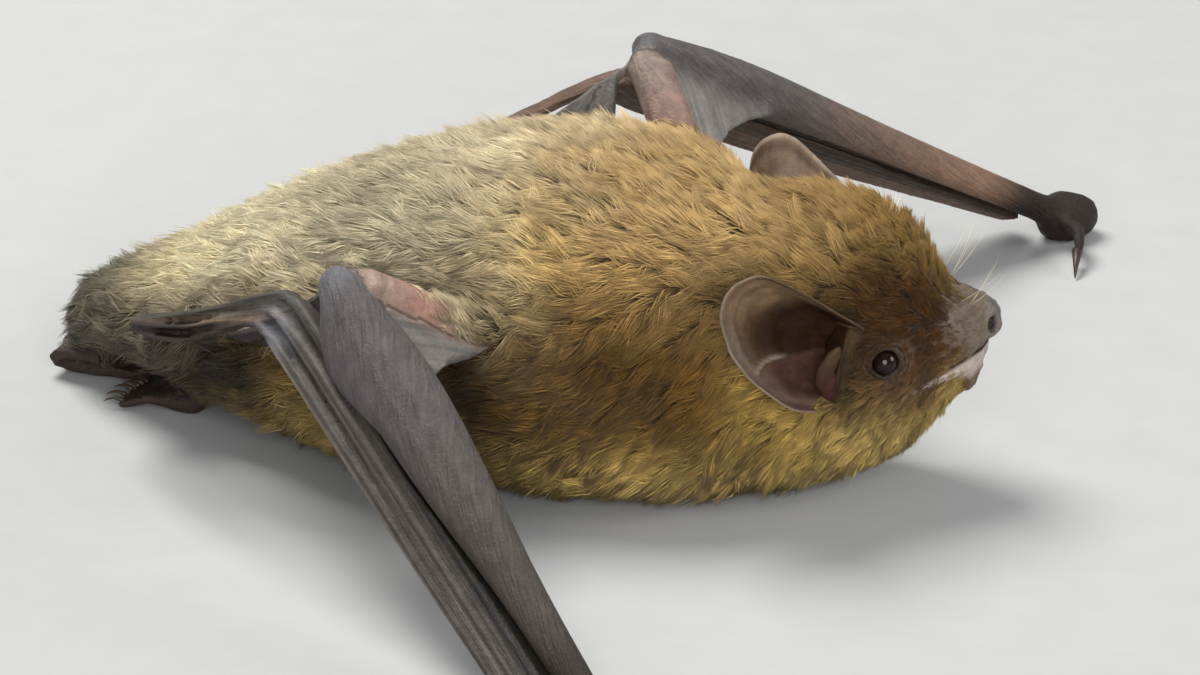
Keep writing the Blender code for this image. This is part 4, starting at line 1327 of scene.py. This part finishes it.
def make_wing_folds(worn):
    """The folded fingers and the membrane between them, as one skin with pleats."""
    for word, side in SIDES:
        look = WING_LOOKS[side]
        names = [f"{n}_{word}" for n in ("digit_3", "digit_4", "digit_5", "folded_membrane")]
        points, quads = remeshed(*grown_nodes(names, FOLD_GROWTH), FOLD_VOXEL)
        edges = edges_of(quads)
        points = mixed(points, 0.9, spread(points, edges, 24, 0.5))
        normals = normals_of(points, quads)
        elbow, wrist = limb_axis(f"forearm_{word}")
        arm, fold_way = arm_and_fold(elbow, wrist, side)
        length = np.linalg.norm(wrist - elbow)

        # Beyond the knuckles the bundle narrows towards its tip and sags.
        knuckle = elbow + KNUCKLES[side] * arm + 3.6 * fold_way
        tip = points[points[:, 0] < points[:, 0].min() + 0.8].mean(axis=0)
        back = unit(tip - knuckle)
        down = unit(np.array((0, 0, -1)) + back[2] * back)
        beyond = ramp(-((points - knuckle) @ unit(arm - back)), -0.6, 0.6)
        level = (points - knuckle) @ down
        reach = np.clip((points - knuckle) @ back / np.linalg.norm(tip - knuckle), 0, 1)
        squeeze = beyond * (0.2 + 0.45 * reach) * level
        points = points - squeeze[:, None] * down
        points = points + (beyond * reach**2)[:, None] * np.array((0.3, -1.0 * side, -0.35))

        # How far across the bundle each point lies: 0 at the third finger and 1 at the fifth.
        along = (points - elbow) @ arm / length
        first, last = (a + (b - a) * along for a, b in zip(*BUNDLE[side]))
        across = (1 - beyond) * ((points - elbow) @ fold_way - first) / (last - first)
        across = across + beyond * (0.5 + level / (1.9 - 0.6 * reach))
        wobble = 0.05 * waves(points, 8.0, 31)
        lines = np.sin(2 * math.pi * (4.2 * across + wobble))
        lines += 0.6 * np.sin(2 * math.pi * (9.1 * across + wobble))
        points = points + (0.018 * lines - FOLD_GROWTH * 0.6)[:, None] * normals
        points[:, 2] = np.maximum(points[:, 2], 0.0)

        pale = 0.5 * beyond * hump(across - 0.12, 0.08)
        for place, width, share in ((0.98, 0.07, 0.8), (0.47, 0.035, 0.35), (0.27, 0.03, 0.25)):
            pale = pale + share * hump(across - place, width)
        # Painted shade in the slot between the forearm and the third finger.
        dark = (1 - beyond) * (1 - ramp(across, -0.12, 0.12)) * ramp(along, 0.2, 0.4)
        shade = 1 + 0.10 * lines + 0.12 * waves(points * (0.3, 0.3, 1.0), 1.2, 32)
        colours = mixed(look["fingers"] * shade[:, None], look["finger_lines"] * pale, FINGER_PALE)
        colours = layered(
            colours * (1 - 0.7 * dark)[:, None],
            (0.6 * beyond * hump(across - 0.28, 0.12), STRIP_TAN),
            # The lower half of the bundle beyond the knuckles is painted dark, as shade.
            (beyond * ramp(across, 0.36, 0.5), STRIP_SHADE),
            # A painted highlight, pale blue-grey, by the knuckles.
            (0.45 * near(points, knuckle + 0.4 * fold_way, 1.3), KNUCKLE_HIGHLIGHT),
        )
        folds = np.stack((40 + length * along - 12 * beyond * reach, 20 + 2.4 * across, 0 * along), 1)
        add_mesh(f"wing_folds_{word}", points, quads, worn, colours, folds, names, "membrane")


# ---- everything -------------------------------------------------------------------------------


def face_layers(h):
    """The bare face's markings and painted shade from the lowest up, each as its share of every point and its
    colour.
    """
    x, _, z = h.T
    lips = z - lip_height(x)
    below = -lips
    bare = ramp(x, 3.0, 5.0) * (1 - ramp(skin_fields[:, 0], 0.1, 0.35))
    pink = 0.3 + 0.7 * ramp(x, 5.4, 8.2)
    pink = ramp(below, 0.02, 0.12) * (1 - ramp(below, pink, pink + 0.5)) * ramp(x, 4.4, 6.6)
    spots = ramp(waves(h * (1, 1, 1.2), 0.42, 47), 0.55, 0.9) * (z > -1.5) * (lips > 0.3)
    spots = spots * ramp(x, 5.9, 6.6) * (1 - ramp(x, 8.3, 8.7))
    nostril = nostril_place(h)
    layers = [
        (bare * (1 - ramp(x, 6.0, 7.2)), FACE * 0.6),
        (ramp(x, 5.8, 6.8), FACE),
        (ramp(x + 0.7 * (z - 0.6) + 0.2 * waves(h, 1.0, 71), 6.4, 7.8), SNOUT_GREY),
        (0.35 * ramp(waves(h, 0.8, 72), 0.1, 1.0) * ramp(x, 6.3, 7.0), FACE * 0.7),
        (0.8 * ramp(x, 8.3, 8.9) * ramp(z, -0.1, 0.4), NOSE_TIP),
        (0.9 * pink, LIP_PINK * (1 - 0.12 * waves(h, 0.7, 73))[:, None]),
        (ramp(below, 0.9, 1.6) * ramp(x, 6.0, 7.0) * (z < 0), FACE * 0.9),
        (hump(lips, 0.09) * ramp(x, 5.0, 6.0), NOSE_DARK * 0.4),
        (0.35 * spots, NOSE_DARK),
        # The nostrils' openings are painted near black, as shade.
        (1 - ramp(nostril, 0.75, 1.15), NOSE_DARK * 0.25),
        (0.4 * hump(nostril - 1.6, 0.3), SNOUT_GREY * 1.25),
        (np.clip(skin_lids * 1.15, 0, 1), FACE * (0.26 + 0.08 * waves(h, 0.35, 74))[:, None]),
    ]
    for side in (1, -1):
        from_eye = h - (EYE_FORWARD, to_head(eyes[side])[1], EYE_UP)
        ring = hump(np.linalg.norm(from_eye, axis=1) / eye_radius - 1.42, 0.14)
        layers.append((0.4 * ring * ramp(from_eye[:, 0] + from_eye[:, 2], 0.3, 1.1), LIP_PINK * 0.25))
    # The bare hollow before each ear's opening is painted dark, as shade.
    return [*layers, (ear_mouth(h), EAR_HOLLOW_SHADE * 1.5)]


def make_skin_piece(worn):
    """The skin with its markings, painted shade and painted highlights, and with the way that its creases run
    on the limbs and the membranes.
    """
    on_head = on_parts(skin_kinds, "head", "snout")
    furry = ramp(skin_fields[:, 0], 0.05, 0.4) * on_parts(skin_kinds, "torso", "head", "snout", "arm")
    colours = mixed(skin_colours, furry, coat_colour(skin_points, skin_normals) * 0.5)
    for share, colour in face_layers(to_head(skin_points)):
        colours = mixed(colours, share * on_head, colour)

    folds = np.zeros((len(skin_points), 3))
    for word, side in SIDES:
        look = WING_LOOKS[side]
        mine = ours(skin_points, side)
        elbow, wrist = limb_axis(f"forearm_{word}")
        arm = unit(wrist - elbow)
        across = unit(np.cross(arm, (0, 0, 1)))
        rel = skin_points - elbow
        turn = np.arctan2(rel @ across, rel @ np.cross(across, arm))
        share = rel @ arm / np.linalg.norm(wrist - elbow)
        shade = look["forearm_shade"] * (1 - 0.12 * ramp(np.sin(turn + 2.0), 0.0, 1.0))
        grey = layered(
            mixed(WING_GREY, ramp(share, 0.25, 0.8), look["wrist"]) * shade[:, None],
            (ramp(share, 0.80, 0.94), look["hand"]),
            # A painted highlight, pale blue-grey, by the elbow.
            (look["knob_highlight"] * hump(share, 0.06), KNUCKLE_HIGHLIGHT),
        )
        forearm = mine & on_parts(skin_kinds, "forearm", "hand")
        colours = mixed(colours, spread(forearm, skin_edges, 8), grey)
        web = mine & on_parts(skin_kinds, "web")
        colours = mixed(colours, spread(web, skin_edges, 4), colours * look["web_shade"])
        creased = forearm | web
        run = np.stack((1 + rel @ arm + 0.6 * turn, 1.8 * turn - 0.5 * rel @ arm, 0 * turn), 1)
        folds[creased] = run[creased]

        upper = mine & on_parts(skin_kinds, "arm")
        place = arm_places(skin_points, word)
        red = 0.6 * hump(place - 0.5 + 0.08 * waves(skin_points, 1.5, 75), 0.3)
        pinker = layered(WING_PINK, (red, WING_RED), (look["upper_grey"], WEB_GREY))
        colours = mixed(colours, spread(upper, skin_edges, 6) * (1 - furry), pinker)
        folds[upper] = np.stack((60 + 9 * place, 2.4 * turn, 0 * turn), 1)[upper]
    # The back end of the flank membranes, under the folded fingers, is painted dark, as shade.
    shaded_rear_web = on_parts(skin_kinds, "web") * ramp(body_origin[0] - skin_points[:, 0], 7.0, 10.0)
    colours = mixed(colours, 0.9 * spread(shaded_rear_web, skin_edges, 4), STRIP_SHADE)
    add_mesh("skin", skin_points, skin_faces, worn, colours, folds, SKIN_NODES, "face_skin")


skin_tree = tree_of(skin_points, skin_faces)
body_skin = skin_material("body_skin", roughness=0.5, specular=0.3, pores=0.16, depth=0.11, dark=0.26)
ear_skin = skin_material("ear_membrane", roughness=0.6, specular=0.15, pores=0.12, depth=0.03, dark=0.12)
wing_skin = skin_material(
    "wing_membrane", roughness=0.5, specular=0.25, pores=0.2, depth=0.05, dark=0.2, lengthwise=(3.0, 0.16)
)
make_skin_piece(body_skin)
ears = make_ears(ear_skin)
make_wing_folds(wing_skin)
make_eyes(plain_material("eye_wet", EYE_BLACK, roughness=0.05, specular=0.25))
make_claws(plain_material("horn", HORN_BROWN, roughness=0.4, specular=0.35))
hair = hair_material()
make_whiskers(hair)
make_coat(hair, ears)

# ---- floor, light and camera -------------------------------------------------------------------

AZIMUTH_DEG, ELEVATION_DEG, DISTANCE = 22.0, 22.5, 370.0
PIXELS_PER_MM, PHOTO_WIDTH = 21.0, 1200
SENSOR, LENS_SHIFT = 36, (0.0025, -0.0221)
FLOOR_SIZE = 900.0
AIM = body_origin + np.array((0, 0, 7.0))


def make_floor():
    size = FLOOR_SIZE
    corners = np.array([(-size, -size, 0), (size, -size, 0), (size, size, 0), (-size, size, 0)])
    mesh = raw_mesh("floor", corners * MM, np.array([(0, 1, 2, 3)]))
    made, tree, shader = new_material("floor", roughness=0.75, specular=0.3)
    grain = mapped(tree, noise_of(tree, 3.0, 6.0), 0.365, 0.38)
    colour = add_node(tree, "CombineColor")
    for socket, share in zip(colour.inputs, (1.0, 1.0, 0.98)):
        link(tree, calculated(tree, "MULTIPLY", grain, share), socket)
    link(tree, colour.outputs[0], shader.inputs["Base Color"])
    mesh.materials.append(made)
    floor = placed("floor", mesh)


def make_light(name, place, size, watts, colour=(1, 1, 1)):
    """A round lamp that shines at the bat. Its place and width are in millimetres."""
    lamp = bpy.data.lights.new(name, "AREA")
    lamp.shape = "DISK"
    lamp.size = size * MM
    lamp.energy = watts
    lamp.color = colour
    obj = placed(name, lamp)
    obj.location = Vector(place) * MM
    aim = Vector((0, 0, 8)) * MM - obj.location
    obj.rotation_euler = aim.to_track_quat("-Z", "Y").to_euler()


def make_camera():
    """The photo's view of the bat."""
    a, e = math.radians(AZIMUTH_DEG), math.radians(ELEVATION_DEG)
    right = Vector((math.cos(a), math.sin(a), 0))
    up = Vector((-math.sin(a) * math.sin(e), math.cos(a) * math.sin(e), math.cos(e)))
    back = right.cross(up)
    camera = bpy.data.cameras.new("camera")
    camera.sensor_width = SENSOR
    camera.lens = SENSOR * PIXELS_PER_MM * DISTANCE / PHOTO_WIDTH
    camera.shift_x, camera.shift_y = LENS_SHIFT
    camera.clip_start, camera.clip_end = 0.01, 5
    place = Matrix((right, up, back)).transposed().to_4x4()
    place.translation = (Vector(AIM) + DISTANCE * back) * MM
    obj = placed("camera", camera)
    obj.matrix_world = place
    bpy.context.scene.camera = obj


make_floor()
make_light("key", (-110, 60, 260), size=170, watts=1.2, colour=(1.0, 0.99, 0.97))
make_light("fill", (120, -260, 110), size=220, watts=0.95, colour=(0.97, 0.98, 1.0))
make_light("front", (240, 60, 120), size=140, watts=0.35)
make_camera()
world = bpy.data.worlds.new("studio")
world.use_nodes = True
sky = world.node_tree.nodes["Background"]
sky.inputs["Color"].default_value = (0.9, 0.95, 1.0, 1)
sky.inputs["Strength"].default_value = 0.28
bpy.context.scene.world = world
bpy.context.scene.view_settings.view_transform = "Standard"
